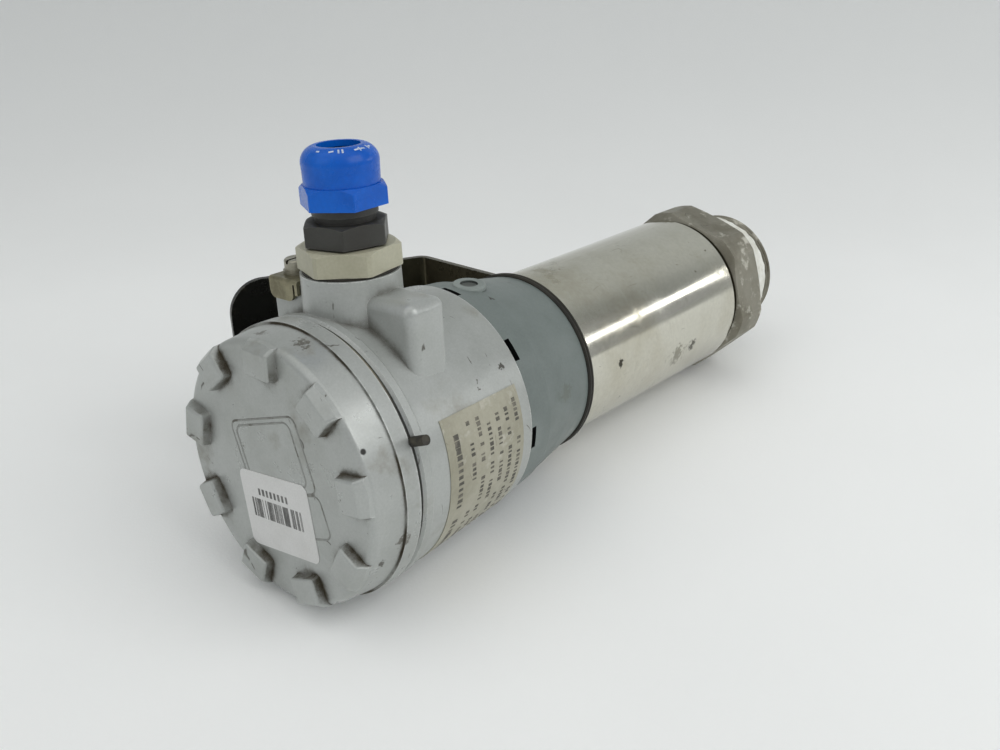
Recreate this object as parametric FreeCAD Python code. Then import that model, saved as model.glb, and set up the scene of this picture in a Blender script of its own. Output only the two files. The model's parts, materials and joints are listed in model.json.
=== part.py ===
import FreeCAD, Part
import math
import os

# Pressure transmitter with a flush process thread. Millimetres.
# The main axis is X, with the process side at +X. The origin is the centre of the sealing face
# behind the process thread. The cable entry points up along Z.

Vector = FreeCAD.Vector
origin = Vector(0, 0, 0)
along_x = Vector(1, 0, 0)
along_y = Vector(0, 1, 0)
along_z = Vector(0, 0, 1)
full_turn = 360.0

# Fits
running_clearance = 0.05    # radial, between pieces that turn or slide on each other
seat_clearance = 0.02       # radial, between nested pieces that stay put
body_gap = 0.3              # between faces of pieces that move apart

# Process connection, G 1 1/2
thread_radius = 23.9
thread_length = 22.0
thread_chamfer = 1.4
hex_across_flats = 60.0
hex_turned_radius = 32.5
hex_width = 18.0
hex_corner_angle = 19.0
hex_chamfer_length = 1.6
hex_chamfer_drop = 3.2
groove_width = 2.8
groove_radius = 28.6
spigot_length = 11.0
measuring_bore = 18.0
tape_start = 0.8
tape_length = 8.5
tape_thickness = 0.35
diaphragm_radius = 20.4
diaphragm_recess = 1.2
diaphragm_thickness = 0.4
cell_thickness = 10.0
retainer_length = 7.0
retainer_wall = 5.0
board_length = 62.0
board_width = 33.0
board_thickness = 1.6
lead_radius = 2.2

# Body tube
tube_radius = 30.25
tube_wall = 2.5
tube_length = 94.2
tube_end_wall = 4.0
nipple_radius = 19.0
nipple_length = 35.0
nipple_bore = 8.0

# Mounting bracket, one bent sheet
sheet_thickness = 2.0
sheet_ring_radius = 30.5
sheet_root_height = 30.0    # half the height of the sheet at the ring, and at the far end of the panel
sheet_end_height = 35.0
sheet_reach = 45.5
panel_length = 73.5
panel_flare = 20.8
panel_corner_radius = 12.0
bend_radius = 2.0

# Neck
neck_seal_thickness = 1.0
neck_seal_radius = 30.8
collar_length = 37.0
collar_wide_radius = 37.3
collar_band_length = 11.0
collar_band_radius = 36.3
collar_step = 0.4
collar_narrow_radius = 31.4
collar_wall = 2.6
collar_web = 3.0
collar_sleeve_wall = 2.4
collar_rib = 2.0
notch_count = 8
notch_angle = 7.5
notch_width = 7.4
notch_depth = 1.9
vent_radius = 5.5
vent_height = 1.3
vent_recess_radius = 2.9
vent_recess_depth = 0.7
vent_stem_radius = 2.4
vent_seat = 35.7
vent_offset = 11.4
vent_angle = 96.0

# Housing
housing_length = 50.4
housing_lip_radius = 42.0
housing_lip_length = 3.2
housing_lip_round = 0.8
housing_front_radius = 41.4
housing_back_radius = 37.9
housing_wall = 3.7
housing_back_wall = 5.0
hub_radius = 26.0
hub_length = 18.0
lead_hole_radius = 7.0
cover_thread_radius = 36.0
cover_thread_depth = 10.0
ground_post_radius = 3.6
ground_post_drop = 29.5

# Cable entry boss and the two cast blocks beside it
entry_setback = 33.4
entry_boss_radius = 14.6
entry_boss_draft = 0.9
entry_boss_top = 52.4
entry_thread_radius = 10.0
block_length = 14.3
block_reach = 30.6
block_top = 47.6
block_inner = 8.0
block_bottom = 18.0
block_edge_round = 3.2
ground_block_reach = 28.8
ground_block_top = 46.4
ground_block_round = 0.9

# Cover
cover_gap = 1.8
cover_height = 16.3
cover_rim_radius = 42.3
cover_step_radius = 41.6
cover_face_radius = 40.5
cover_skirt = 5.3
cover_edge_round = 2.2
cover_wall = 3.5
cover_spigot_wall = 2.9
cover_spigot_length = 11.0
lug_count = 9
lug_angle = 12.2
lug_height = 3.0
lug_inner = 30.8
lug_outer = 38.6
lug_width = 10.4
lug_draft = 0.5
lug_outward_draft = 2.0
lug_round = 0.9
lug_root = 0.5
seal_thickness = 1.2
seal_radius = 41.0
seal_tail_angle = 159.2
seal_tail_radius = 1.45
seal_tail_tip = 48.2
seal_tail_width = 2.6

# Sticker and label
sticker_length = 31.4
sticker_width = 24.4
sticker_round = 2.5
sticker_thickness = 0.2
sticker_turn = -6.0
sticker_centre_y = 0.6
sticker_centre_z = -12.9
label_start = 11.2
label_length = 34.6
label_first_angle = 157.0
label_sweep = 80.0
label_thickness = 0.2

# Cable gland
gasket_thickness = 0.8
gasket_setback = 0.7
adapter_height = 6.8
adapter_across_flats = 27.0
adapter_turned_radius = 15.2
adapter_corner_angle = 10.0
adapter_thread_length = 9.0
gland_gasket_thickness = 0.6
gland_thread_radius = 8.0
gland_thread_length = 10.0
gland_hex_across_flats = 22.6
gland_turned_radius = 12.9
gland_corner_angle = 43.5
gland_hex_height = 6.4
gland_neck_radius = 9.5
gland_neck_height = 9.5
gland_relief_radius = 8.7
gland_relief_height = 1.9
gland_bore = 5.5
finger_count = 8
finger_length = 5.5
finger_radius = 9.0
finger_slot = 1.2
gland_seal_radius = 7.7
gland_seal_length = 10.2
cable_radius = 4.0
cap_lift = 4.2
cap_height = 16.8
cap_hex_height = 5.4
cap_corner_angle = 2.0
cap_wall = 1.95
cap_flat_depth = 0.25
cap_corner_reach = 1.4
cap_taper = 0.5
cap_shoulder_height = 11.4
cap_dome_bulge = 0.66
cap_dome_inset = 0.9
cap_rim_radius = 7.3
cap_hole_radius = 6.2
cap_cone_clearance = 0.6
hex_edge_chamfer = 0.8

# Ground terminal outside
clamp_thickness = 1.2
clamp_overhang = 1.5
clamp_drop = 6.6
clamp_inner = 15.6
clamp_outer = 28.6
flap_inner = 17.6
flap_round = 2.6
ground_screw_reach = 24.2
ground_head_radius = 4.2
ground_head_height = 3.4
ground_shank_radius = 2.0
ground_shank_length = 12.0
washer_radius = 4.7
washer_thickness = 0.9
slot_width = 1.0
slot_depth = 1.2

# Electronics and terminals
insert_radius = 33.4
insert_length = 17.0
insert_rim_length = 11.0
insert_rim_step = 3.2
insert_screw_reach = 26.0
insert_screw_radius = 1.6
insert_screw_grip = 3.4
insert_head_radius = 3.0
insert_head_height = 2.4
terminal_count = 4
terminal_pitch = 8.0
terminal_width = 16.0
terminal_height = 11.0
terminal_well_radius = 3.0
terminal_well_depth = 4.0
terminal_head_radius = 2.6
terminal_head_height = 2.2
terminal_shank_length = 3.0
wire_entry_radius = 1.5
wire_entry_depth = 6.0

# Stations along the axis, from the process side to the cover
hex_back = -hex_width
tube_front = hex_back - groove_width
tube_back = tube_front - tube_length
bracket_back = tube_back - sheet_thickness
neck_seal_back = bracket_back - neck_seal_thickness
housing_back = neck_seal_back - collar_length
hub_end = housing_back + hub_length
nipple_end = tube_back - nipple_length
chamber_back = housing_back - housing_back_wall
housing_front = housing_back - housing_length
thread_end = housing_front + cover_thread_depth
cover_rim = housing_front - cover_gap
cover_face = cover_rim - cover_height
lug_front = cover_face - lug_height
spigot_end = cover_rim + cover_spigot_length
insert_front = chamber_back - insert_length
terminal_front = insert_front - terminal_height
entry_x = housing_back - entry_setback
block_back = entry_x + block_length / 2 + 0.5
block_front = block_back - block_length
vent_x = housing_back + vent_offset
chamber_radius = housing_back_radius - housing_wall
spigot_radius = cover_thread_radius - running_clearance
tube_bore = tube_radius - tube_wall

# Heights of the gland stack
adapter_bottom = entry_boss_top + gasket_thickness
adapter_top = adapter_bottom + adapter_height
gland_hex_bottom = adapter_top + gland_gasket_thickness
gland_hex_top = gland_hex_bottom + gland_hex_height
gland_neck_top = gland_hex_top + gland_neck_height
finger_top = gland_neck_top + finger_length
gland_seal_bottom = finger_top - gland_seal_length + body_gap
cap_bottom = gland_hex_top + cap_lift
cap_top = cap_bottom + cap_height

# Sizes of the cap nut, which follow the neck it screws onto
cap_bore_radius = gland_neck_radius + running_clearance
cap_skirt_radius = cap_bore_radius + cap_wall
cap_across_flats = 2 * (cap_skirt_radius - cap_flat_depth)
cap_turned_radius = cap_skirt_radius + cap_corner_reach
cap_shoulder_radius = cap_skirt_radius - cap_taper


def turned(profile):
    """A closed outline of (x, radius) points spun round the main axis."""
    corners = [Vector(x, 0, radius) for x, radius in profile]
    return Part.Face(Part.makePolygon(corners + corners[:1])).revolve(origin, along_x, full_turn)


def upright(profile, centre_x, centre_y=0.0):
    """A closed outline of (radius, z) points spun round an upright axis."""
    corners = [Vector(centre_x + radius, centre_y, z) for radius, z in profile]
    face = Part.Face(Part.makePolygon(corners + corners[:1]))
    return face.revolve(Vector(centre_x, centre_y, 0), along_z, full_turn)


def rod(radius, start_x, end_x, y=0.0, z=0.0):
    """A plain cylinder along the main axis."""
    return Part.makeCylinder(radius, end_x - start_x, Vector(start_x, y, z), along_x)


def pin(radius, bottom, top, x, y=0.0):
    """A plain upright cylinder."""
    return Part.makeCylinder(radius, top - bottom, Vector(x, y, bottom), along_z)


def ring(outer, inner, start_x, end_x):
    """A flat ring round the main axis."""
    return rod(outer, start_x, end_x).cut(rod(inner, start_x, end_x))


def slab(start_x, end_x, start_y, end_y, bottom, top):
    """A square block between two opposite corners."""
    size = (end_x - start_x, end_y - start_y, top - bottom)
    return Part.makeBox(*size, Vector(start_x, start_y, bottom))


def hexagon(across_flats, centre, axis, length, corner_angle):
    """A hexagonal bar. Its corners start at the given angle."""
    corner_radius = across_flats / math.sqrt(3)
    corners = []
    for step in range(6):
        angle = math.radians(corner_angle + step * 60)
        side = corner_radius * math.cos(angle)
        rise = corner_radius * math.sin(angle)
        corners.append(Vector(0, side, rise) if axis.x else Vector(side, rise, 0))
    outline = Part.makePolygon([centre + corner for corner in corners + corners[:1]])
    return Part.Face(outline).extrude(axis * length)


def spun(shape, angle):
    """A copy turned about the main axis."""
    copy = shape.copy()
    copy.rotate(origin, along_x, angle)
    return copy


def patterned(shape, count, first_angle):
    """Copies of a shape spaced evenly round the main axis."""
    return [spun(shape, first_angle + step * full_turn / count) for step in range(count)]


def rounded(shape, radius, wanted):
    """The shape with the edges picked by a test filleted."""
    return shape.makeFillet(radius, [edge for edge in shape.Edges if wanted(edge)])


def is_upright(edge):
    """True for a straight edge along Z."""
    start, end = edge.Vertexes[0].Point, edge.Vertexes[-1].Point
    return abs(start.x - end.x) + abs(start.y - end.y) < 1e-6 < abs(start.z - end.z)


def housing_radius(x):
    """Outside radius of the tapered housing wall at a station."""
    start = housing_front + housing_lip_length + housing_lip_round
    share = (x - start) / (housing_back - start)
    return housing_front_radius + share * (housing_back_radius - housing_front_radius)


def cast_block(reach, top, edge_round, side):
    """A square casting block beside the cable entry. Side is -1 or 1 along Y."""
    start_y, end_y = sorted((side * block_inner, side * reach))
    block = slab(block_front, block_back, start_y, end_y, block_bottom, top)

    def outside(edge):
        middle = edge.BoundBox.Center
        far = abs(middle.y) > block_inner + edge_round
        return far and middle.z > block_bottom + edge_round

    return rounded(block, edge_round, outside)


def make_housing():
    """Cast housing: tapered wall, lip at the cover, entry boss, two blocks and the hub for the neck."""
    lip_end = housing_front + housing_lip_length
    body = turned([
        (housing_front, 0),
        (housing_front, housing_lip_radius - housing_lip_round),
        (housing_front + housing_lip_round, housing_lip_radius),
        (lip_end, housing_lip_radius),
        (lip_end + housing_lip_round, housing_front_radius),
        (housing_back, housing_back_radius),
        (housing_back, hub_radius),
        (hub_end, hub_radius),
        (hub_end, 0),
    ])
    boss_foot = entry_boss_radius + entry_boss_draft
    boss = upright([(0, 0), (boss_foot, 0), (entry_boss_radius, entry_boss_top), (0, entry_boss_top)],
                   entry_x)
    side_block = cast_block(block_reach, block_top, block_edge_round, -1)
    ground_block = cast_block(ground_block_reach, ground_block_top, ground_block_round, 1)
    cavity = turned([
        (housing_front, 0),
        (housing_front, cover_thread_radius),
        (thread_end, cover_thread_radius),
        (thread_end, chamber_radius),
        (chamber_back, chamber_radius),
        (chamber_back, lead_hole_radius),
        (nipple_end - seat_clearance, lead_hole_radius),
        (nipple_end - seat_clearance, nipple_radius + seat_clearance),
        (hub_end, nipple_radius + seat_clearance),
        (hub_end, 0),
    ])
    entry = pin(entry_thread_radius + seat_clearance, 0, entry_boss_top, entry_x)
    shank_bottom = ground_block_top - ground_shank_length
    ground_hole = pin(ground_shank_radius + seat_clearance, shank_bottom, ground_block_top, entry_x,
                      ground_screw_reach)
    insert_holes = [insert_screw_shape(seat_clearance, side, 0) for side in (-1, 1)]
    post = rod(ground_post_radius, insert_front, chamber_back, 0, -ground_post_drop)
    post_hole = rod(insert_screw_radius + seat_clearance, insert_front, chamber_back, 0, -ground_post_drop)
    shell = body.multiFuse([boss, side_block, ground_block]).cut(cavity.fuse(entry)).fuse(post)
    return shell.cut(ground_hole.multiFuse(insert_holes + [post_hole])).removeSplitter()


def insert_screw_shape(growth, side, head_height):
    """The shank of an insert screw, with its head if it has a height. Growth makes the hole for it."""
    reach = side * insert_screw_reach
    shank = rod(insert_screw_radius + growth, insert_front, chamber_back + insert_screw_grip, reach)
    if head_height == 0:
        return shank
    return shank.fuse(rod(insert_head_radius, insert_front - head_height, insert_front, reach))


def make_cover():
    """Screw cover: skirt, step, domed edge, hollow threaded spigot and grip lugs standing on the face."""
    step_x = cover_rim - cover_skirt
    shell = turned([
        (spigot_end, spigot_radius - cover_spigot_wall),
        (spigot_end, spigot_radius),
        (cover_rim, spigot_radius),
        (cover_rim, cover_rim_radius),
        (step_x, cover_rim_radius),
        (step_x, cover_step_radius),
        (cover_face, cover_face_radius),
        (cover_face, 0),
        (cover_face + cover_wall, 0),
        (cover_face + cover_wall, spigot_radius - cover_spigot_wall),
    ])

    def face_edge(edge):
        box = edge.BoundBox
        on_face = abs(box.XMin - cover_face) + abs(box.XMax - cover_face) < 1e-3
        return on_face and abs(box.YLength / 2 - cover_face_radius) < 1e-3

    shell = rounded(shell, cover_edge_round, face_edge)
    return shell.multiFuse(patterned(make_lug(), lug_count, lug_angle)).removeSplitter()


def make_lug():
    """One grip lug, drafted on all sides, standing proud of the cover face at angle zero (along Y)."""
    root = cover_face + cover_edge_round + lug_root
    depth = root - lug_front

    def outline(x):
        growth = (x - lug_front) / lug_height
        half = lug_width / 2 + growth * lug_draft
        inner = lug_inner - growth * lug_draft
        outer = lug_outer + growth * lug_outward_draft
        corners = [(inner, -half), (outer, -half), (outer, half), (inner, half), (inner, -half)]
        return Part.makePolygon([Vector(x, y, z) for y, z in corners])

    lug = Part.makeLoft([outline(lug_front), outline(root)], True)
    lug = rounded(lug, lug_round, lambda edge: edge.BoundBox.XMin < root - depth / 2)
    return lug.common(rod(cover_face_radius, lug_front, root))


def make_cover_seal():
    """Flat seal ring between cover and housing, with the rubber pull tail that sticks out of the gap."""
    start = housing_front - body_gap - seal_thickness
    flat = ring(seal_radius, spigot_radius + running_clearance, start, start + seal_thickness)
    strap = slab(start, start + seal_thickness, seal_radius - seal_tail_width,
                 cover_rim_radius + seal_tail_radius,
                 -seal_tail_width / 2, seal_tail_width / 2)
    tail_x = start + seal_thickness / 2
    tail = Part.makeCylinder(seal_tail_radius, seal_tail_tip - cover_rim_radius - body_gap,
                             Vector(tail_x, cover_rim_radius + body_gap, 0), Vector(0, 1, 0))
    return flat.fuse(spun(strap.fuse(tail), seal_tail_angle)).removeSplitter()


def make_sticker():
    """Thin rounded sticker on the cover face."""
    sticker = slab(cover_face - sticker_thickness, cover_face, -sticker_length / 2, sticker_length / 2,
                   -sticker_width / 2, sticker_width / 2)
    sticker = rounded(sticker, sticker_round, lambda edge: edge.BoundBox.XLength > sticker_thickness / 2)
    sticker.rotate(origin, along_x, sticker_turn)
    sticker.translate(Vector(0, sticker_centre_y, sticker_centre_z))
    return sticker


def make_type_label():
    """Label wrapped round the tapered housing wall."""
    start = housing_front + label_start
    end = start + label_length
    corners = [
        Vector(start, housing_radius(start), 0),
        Vector(end, housing_radius(end), 0),
        Vector(end, housing_radius(end) + label_thickness, 0),
        Vector(start, housing_radius(start) + label_thickness, 0),
    ]
    strip = Part.Face(Part.makePolygon(corners + corners[:1]))
    strip.rotate(origin, along_x, label_first_angle)
    return strip.revolve(origin, along_x, label_sweep)


def gasket(outer, inner, bottom, top):
    """Flat ring in the gland stack."""
    return pin(outer, bottom, top, entry_x).cut(pin(inner, bottom, top, entry_x))


def turned_hexagon(across_flats, turned_radius, corner_angle, bottom, top):
    """A hexagon in the gland stack, chamfered at its corners on the top edge."""
    bar = hexagon(across_flats, Vector(entry_x, 0, bottom), along_z, top - bottom, corner_angle)
    envelope = upright([
        (0, bottom),
        (turned_radius, bottom),
        (turned_radius, top - hex_edge_chamfer),
        (turned_radius - 2 * hex_edge_chamfer, top),
        (0, top),
    ], entry_x)
    return bar.common(envelope)


def make_entry_adapter():
    """Threaded adapter from the boss to the gland."""
    head = turned_hexagon(adapter_across_flats, adapter_turned_radius, adapter_corner_angle,
                          adapter_bottom, adapter_top)
    shank = pin(entry_thread_radius, adapter_bottom - adapter_thread_length, adapter_bottom, entry_x)
    bore = pin(gland_thread_radius + seat_clearance, adapter_bottom - adapter_thread_length, adapter_top,
               entry_x)
    return head.fuse(shank).cut(bore).removeSplitter()


def make_gland_body():
    """Gland body: hexagon, thread shanks and the ring of clamping fingers."""
    head = turned_hexagon(gland_hex_across_flats, gland_turned_radius, gland_corner_angle,
                          gland_hex_bottom, gland_hex_top)
    bottom = gland_hex_bottom - gland_thread_length
    shank = pin(gland_thread_radius, bottom, gland_hex_bottom, entry_x)
    relief_top = gland_hex_top + gland_relief_height
    relief = pin(gland_relief_radius, gland_hex_top, relief_top, entry_x)
    neck = pin(gland_neck_radius, relief_top, gland_neck_top, entry_x)
    fingers = pin(finger_radius, gland_neck_top, finger_top, entry_x)
    seal_floor = gland_seal_bottom - body_gap
    bore = pin(gland_bore, bottom, seal_floor, entry_x)
    seal_seat = pin(gland_seal_radius, seal_floor, finger_top, entry_x)
    slots = []
    for step in range(finger_count // 2):
        slot = slab(-finger_radius, finger_radius, -finger_slot / 2, finger_slot / 2, gland_neck_top,
                    finger_top)
        slot.rotate(origin, along_z, step * full_turn / finger_count)
        slot.translate(Vector(entry_x, 0, 0))
        slots.append(slot)
    return head.multiFuse([shank, relief, neck,
                           fingers]).cut(bore.multiFuse([seal_seat] + slots)).removeSplitter()


def make_gland_seal():
    """Rubber insert that grips the cable."""
    outer = gland_seal_radius - running_clearance
    return gasket(outer, cable_radius, gland_seal_bottom, gland_seal_bottom + gland_seal_length)


def make_gland_cap():
    """Domed cap nut: hexagon skirt with arched flats, dome, cable hole and hollow inside."""
    hex_top = cap_bottom + cap_hex_height
    shoulder = cap_bottom + cap_shoulder_height
    bar = hexagon(cap_across_flats, Vector(entry_x, 0, cap_bottom), along_z, cap_height, cap_corner_angle)
    skirt_rise = cap_turned_radius - cap_skirt_radius
    envelope = upright([
        (0, cap_bottom),
        (cap_turned_radius, cap_bottom),
        (cap_turned_radius, hex_top - skirt_rise / 2),
        (cap_skirt_radius, hex_top + skirt_rise / 2),
        (0, hex_top + skirt_rise / 2),
    ], entry_x)
    dome_side = [
        Vector(entry_x, 0, hex_top - skirt_rise),
        Vector(entry_x + cap_skirt_radius - skirt_rise / 2, 0, hex_top - skirt_rise),
        Vector(entry_x + cap_shoulder_radius, 0, shoulder),
    ]
    rim = Vector(entry_x + cap_rim_radius, 0, cap_top)
    bulge_height = shoulder + cap_dome_bulge * (cap_top - shoulder)
    bulge = Vector(entry_x + cap_shoulder_radius - cap_dome_inset, 0, bulge_height)
    wire = Part.Wire([
        Part.makeLine(dome_side[0], dome_side[1]),
        Part.makeLine(dome_side[1], dome_side[2]),
        Part.Arc(dome_side[2], bulge, rim).toShape(),
        Part.makeLine(rim, Vector(entry_x, 0, cap_top)),
        Part.makeLine(Vector(entry_x, 0, cap_top), dome_side[0]),
    ])
    dome = Part.Face(wire).revolve(Vector(entry_x, 0, 0), along_z, full_turn)
    seal_top = gland_seal_bottom + gland_seal_length
    cone_start = seal_top + cap_cone_clearance
    cone_end = cone_start + (cap_bore_radius - cap_hole_radius)
    hollow = upright([
        (0, cap_bottom),
        (cap_bore_radius, cap_bottom),
        (cap_bore_radius, cone_start),
        (cap_hole_radius, cone_end),
        (cap_hole_radius, cap_top),
        (0, cap_top),
    ], entry_x)
    return bar.common(envelope).fuse(dome).cut(hollow).removeSplitter()


def make_ground_clamp():
    """Bent claw that holds an earth wire on the ground block: plate, front flap and one side tab."""
    top = ground_block_top + clamp_thickness
    front = block_front - clamp_overhang
    foot = top - clamp_drop
    plate = slab(front, block_back, clamp_inner, clamp_outer, ground_block_top, top)
    flap = slab(front, front + clamp_thickness, flap_inner, clamp_outer, foot, top)
    flap = rounded(flap, flap_round, lambda edge: is_flap_corner(edge, foot))
    tab = slab(front, block_front - body_gap, clamp_inner, clamp_inner + clamp_thickness,
               foot + clamp_drop / 3, top)
    hole = pin(ground_shank_radius + seat_clearance, foot, top, entry_x, ground_screw_reach)
    bent = plate.fuse(flap).fuse(tab).removeSplitter()
    bent = rounded(bent, clamp_thickness * 0.8, lambda edge: is_fold(edge, front, top))
    return bent.cut(hole)


def is_flap_corner(edge, foot):
    """True for the two lower corners of the flap."""
    box = edge.BoundBox
    return box.ZMax < foot + 1e-6 and box.YLength < 1e-6


def is_fold(edge, front, top):
    """True for the outer edge of the fold between plate and flap."""
    box = edge.BoundBox
    return abs(box.XMax - front) + abs(box.ZMin - top) < 1e-6 < box.YLength


def make_ground_washer():
    """Washer under the outer ground screw."""
    bottom = ground_block_top + clamp_thickness
    top = bottom + washer_thickness
    outer = pin(washer_radius, bottom, top, entry_x, ground_screw_reach)
    return outer.cut(pin(ground_shank_radius + seat_clearance, bottom, top, entry_x, ground_screw_reach))


def make_ground_screw():
    """Slotted cheese-head screw of the outer ground terminal."""
    seat = ground_block_top + clamp_thickness + washer_thickness
    top = seat + ground_head_height
    head = pin(ground_head_radius, seat, top, entry_x, ground_screw_reach)
    head = rounded(head, slot_width * 0.8, lambda edge: edge.BoundBox.ZMin > top - 1e-3)
    shank = pin(ground_shank_radius, ground_block_top - ground_shank_length, seat, entry_x,
                ground_screw_reach)
    middle = ground_screw_reach
    slot = slab(entry_x - ground_head_radius, entry_x + ground_head_radius,
                middle - slot_width / 2, middle + slot_width / 2, top - slot_depth, top)
    return head.fuse(shank).cut(slot).removeSplitter()


def make_collar():
    """Moulded collar: banded and tapered skin, end web, inner sleeve, ribs, notches and the vent seat."""
    band_end = housing_back + collar_band_length
    rear = neck_seal_back
    outside = turned([
        (housing_back, 0),
        (housing_back, collar_wide_radius),
        (band_end, collar_band_radius),
        (band_end + collar_step, collar_band_radius - collar_step),
        (rear, collar_narrow_radius),
        (rear, 0),
    ])
    hollow = turned([
        (housing_back, 0),
        (housing_back, collar_wide_radius - collar_wall),
        (band_end, collar_band_radius - collar_step - collar_wall),
        (rear - collar_web, collar_narrow_radius - collar_wall),
        (rear - collar_web, 0),
    ])
    pad_root = collar_narrow_radius - collar_wall
    pad = Part.makeCylinder(vent_radius, vent_seat - pad_root, Vector(vent_x, pad_root, 0), along_y)
    pad = spun(pad, vent_angle)
    bore = nipple_radius + seat_clearance
    sleeve_start = hub_end + seat_clearance
    sleeve = ring(bore + collar_sleeve_wall, bore, sleeve_start, rear)
    rib = slab(sleeve_start, rear, bore + collar_sleeve_wall / 2, collar_wide_radius, -collar_rib / 2,
               collar_rib / 2)
    ribs = [spun_rib.common(outside) for spun_rib in patterned(rib, notch_count, notch_angle)]
    skin = outside.cut(hollow).multiFuse([sleeve, pad] + ribs).cut(rod(bore, sleeve_start, rear))
    notch = slab(housing_back, housing_back + notch_depth, collar_band_radius - collar_wall - 1,
                 collar_wide_radius + 1, -notch_width / 2, notch_width / 2)
    return skin.cut(vent_hole()).cut(patterned(notch, notch_count, notch_angle)).removeSplitter()


def vent_hole():
    """The shallow pocket that takes the disc of the vent, and the hole for its stem."""
    pocket = Part.makeCylinder(vent_radius + seat_clearance, vent_radius, Vector(vent_x, vent_seat, 0),
                               along_y)
    hole = Part.makeCylinder(vent_stem_radius + seat_clearance, vent_seat - hub_radius,
                             Vector(vent_x, hub_radius + 1, 0), along_y)
    return spun(pocket.fuse(hole), vent_angle)


def make_vent():
    """Pressure equalising vent: flat disc with a round recess, on a stem."""
    top = vent_seat + vent_height
    disc = Part.makeCylinder(vent_radius, vent_height, Vector(vent_x, vent_seat, 0), along_y)
    disc = rounded(disc, vent_recess_depth, lambda edge: edge.BoundBox.YMin > top - 1e-3)
    stem_length = collar_wall + 1
    stem = Part.makeCylinder(vent_stem_radius, stem_length, Vector(vent_x, vent_seat - stem_length, 0),
                             along_y)
    recess = Part.makeCylinder(vent_recess_radius, vent_recess_depth,
                               Vector(vent_x, top - vent_recess_depth, 0), along_y)
    return spun(disc.fuse(stem).cut(recess), vent_angle)


def make_bracket():
    """Mounting bracket: a ring clamped in the neck, a plate to one side and the panel folded back from it."""
    flare = math.radians(panel_flare)
    forward = Vector(-math.cos(flare), math.sin(flare), 0)
    inward = Vector(-math.sin(flare), -math.cos(flare), 0)
    outer_corner = Vector(tube_back, sheet_reach, 0)
    inner_edge = outer_corner + inward * sheet_thickness
    inner_corner = inner_edge + forward * ((bracket_back - inner_edge.x) / forward.x)
    panel_end = outer_corner + forward * panel_length
    outline = [
        Vector(tube_back, 0, 0),
        outer_corner,
        panel_end,
        panel_end + inward * sheet_thickness,
        inner_corner,
        Vector(bracket_back, 0, 0),
    ]
    sheet = Part.Face(Part.makePolygon(outline + outline[:1])).extrude(along_z * (4 * sheet_end_height))
    sheet.translate(along_z * (-2 * sheet_end_height))

    def near(edge, point):
        middle = edge.BoundBox.Center
        return is_upright(edge) and abs(middle.x - point.x) + abs(middle.y - point.y) < 1e-3

    sheet = rounded(sheet, bend_radius + sheet_thickness, lambda edge: near(edge, outer_corner))
    sheet = rounded(sheet, bend_radius, lambda edge: near(edge, inner_corner))
    above = space_above_sheet(outer_corner, panel_end)
    below = above.mirror(origin, along_z)
    sheet = sheet.cut(above.fuse(below))
    free_end = panel_end.x + sheet_thickness

    def panel_corner(edge):
        box = edge.BoundBox
        flat = box.ZLength < sheet_thickness
        return flat and box.XMax < free_end and edge.Length < sheet_thickness + bend_radius

    sheet = rounded(sheet, panel_corner_radius, panel_corner)
    plate = sheet.fuse(rod(sheet_ring_radius, bracket_back, tube_back))
    return plate.cut(rod(nipple_radius + seat_clearance, bracket_back, tube_back)).removeSplitter()


def space_above_sheet(bend, end):
    """The space over the slanted top edge of the bracket, which rises from the ring to the panel's end."""
    share = sheet_reach / (sheet_reach + panel_length)
    bend_height = sheet_root_height + share * (sheet_end_height - sheet_root_height)
    root = Vector(tube_back, 0, sheet_root_height)
    along_plate = Vector(bend.x, bend.y, bend_height) - root
    along_panel = Vector(end.x, end.y, sheet_end_height) - Vector(bend.x, bend.y, bend_height)
    size = 4 * (sheet_reach + panel_length)
    normal = along_plate.cross(along_panel)
    slope = Part.makePlane(size, size, root, normal)
    slope.translate(root - slope.CenterOfMass)
    return slope.extrude(normal.normalize() * size)


def make_tube():
    """Body tube with a closed back and the threaded nipple that holds the neck together."""
    return turned([
        (tube_front, tube_radius),
        (tube_back, tube_radius),
        (tube_back, nipple_radius),
        (nipple_end, nipple_radius),
        (nipple_end, nipple_bore),
        (tube_back + tube_end_wall, nipple_bore),
        (tube_back + tube_end_wall, tube_bore),
        (tube_front, tube_bore),
    ])


def make_process_connection():
    """Hexagon, groove, spigot into the tube, and the process thread with its measuring bore."""
    shape = turned([
        (tube_front - spigot_length, measuring_bore),
        (tube_front - spigot_length, tube_bore - seat_clearance),
        (tube_front, tube_bore - seat_clearance),
        (tube_front, groove_radius),
        (hex_back, groove_radius),
        (hex_back, hex_turned_radius - hex_chamfer_drop),
        (hex_back + hex_chamfer_length, hex_turned_radius),
        (-hex_chamfer_length, hex_turned_radius),
        (0, hex_turned_radius - hex_chamfer_drop),
        (0, thread_radius),
        (tape_start, thread_radius),
        (tape_start, thread_radius - tape_thickness),
        (tape_start + tape_length, thread_radius - tape_thickness),
        (tape_start + tape_length, thread_radius),
        (thread_length - thread_chamfer, thread_radius),
        (thread_length, thread_radius - thread_chamfer),
        (thread_length, diaphragm_radius + seat_clearance),
        (thread_length - diaphragm_recess, diaphragm_radius + seat_clearance),
        (thread_length - diaphragm_recess, measuring_bore),
    ])
    corner_to_spare = 2 * hex_turned_radius
    flats = hexagon(hex_across_flats, Vector(hex_back, 0, 0), along_x, hex_width, hex_corner_angle)
    waste = rod(corner_to_spare, hex_back, 0).cut(flats)
    return shape.cut(waste)


def make_tape():
    """Sealing tape wound flush into the start of the process thread."""
    return ring(thread_radius, thread_radius - tape_thickness, tape_start, tape_start + tape_length)


def make_diaphragm():
    """Flush process diaphragm."""
    seat = thread_length - diaphragm_recess
    return rod(diaphragm_radius, seat, seat + diaphragm_thickness)


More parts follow.
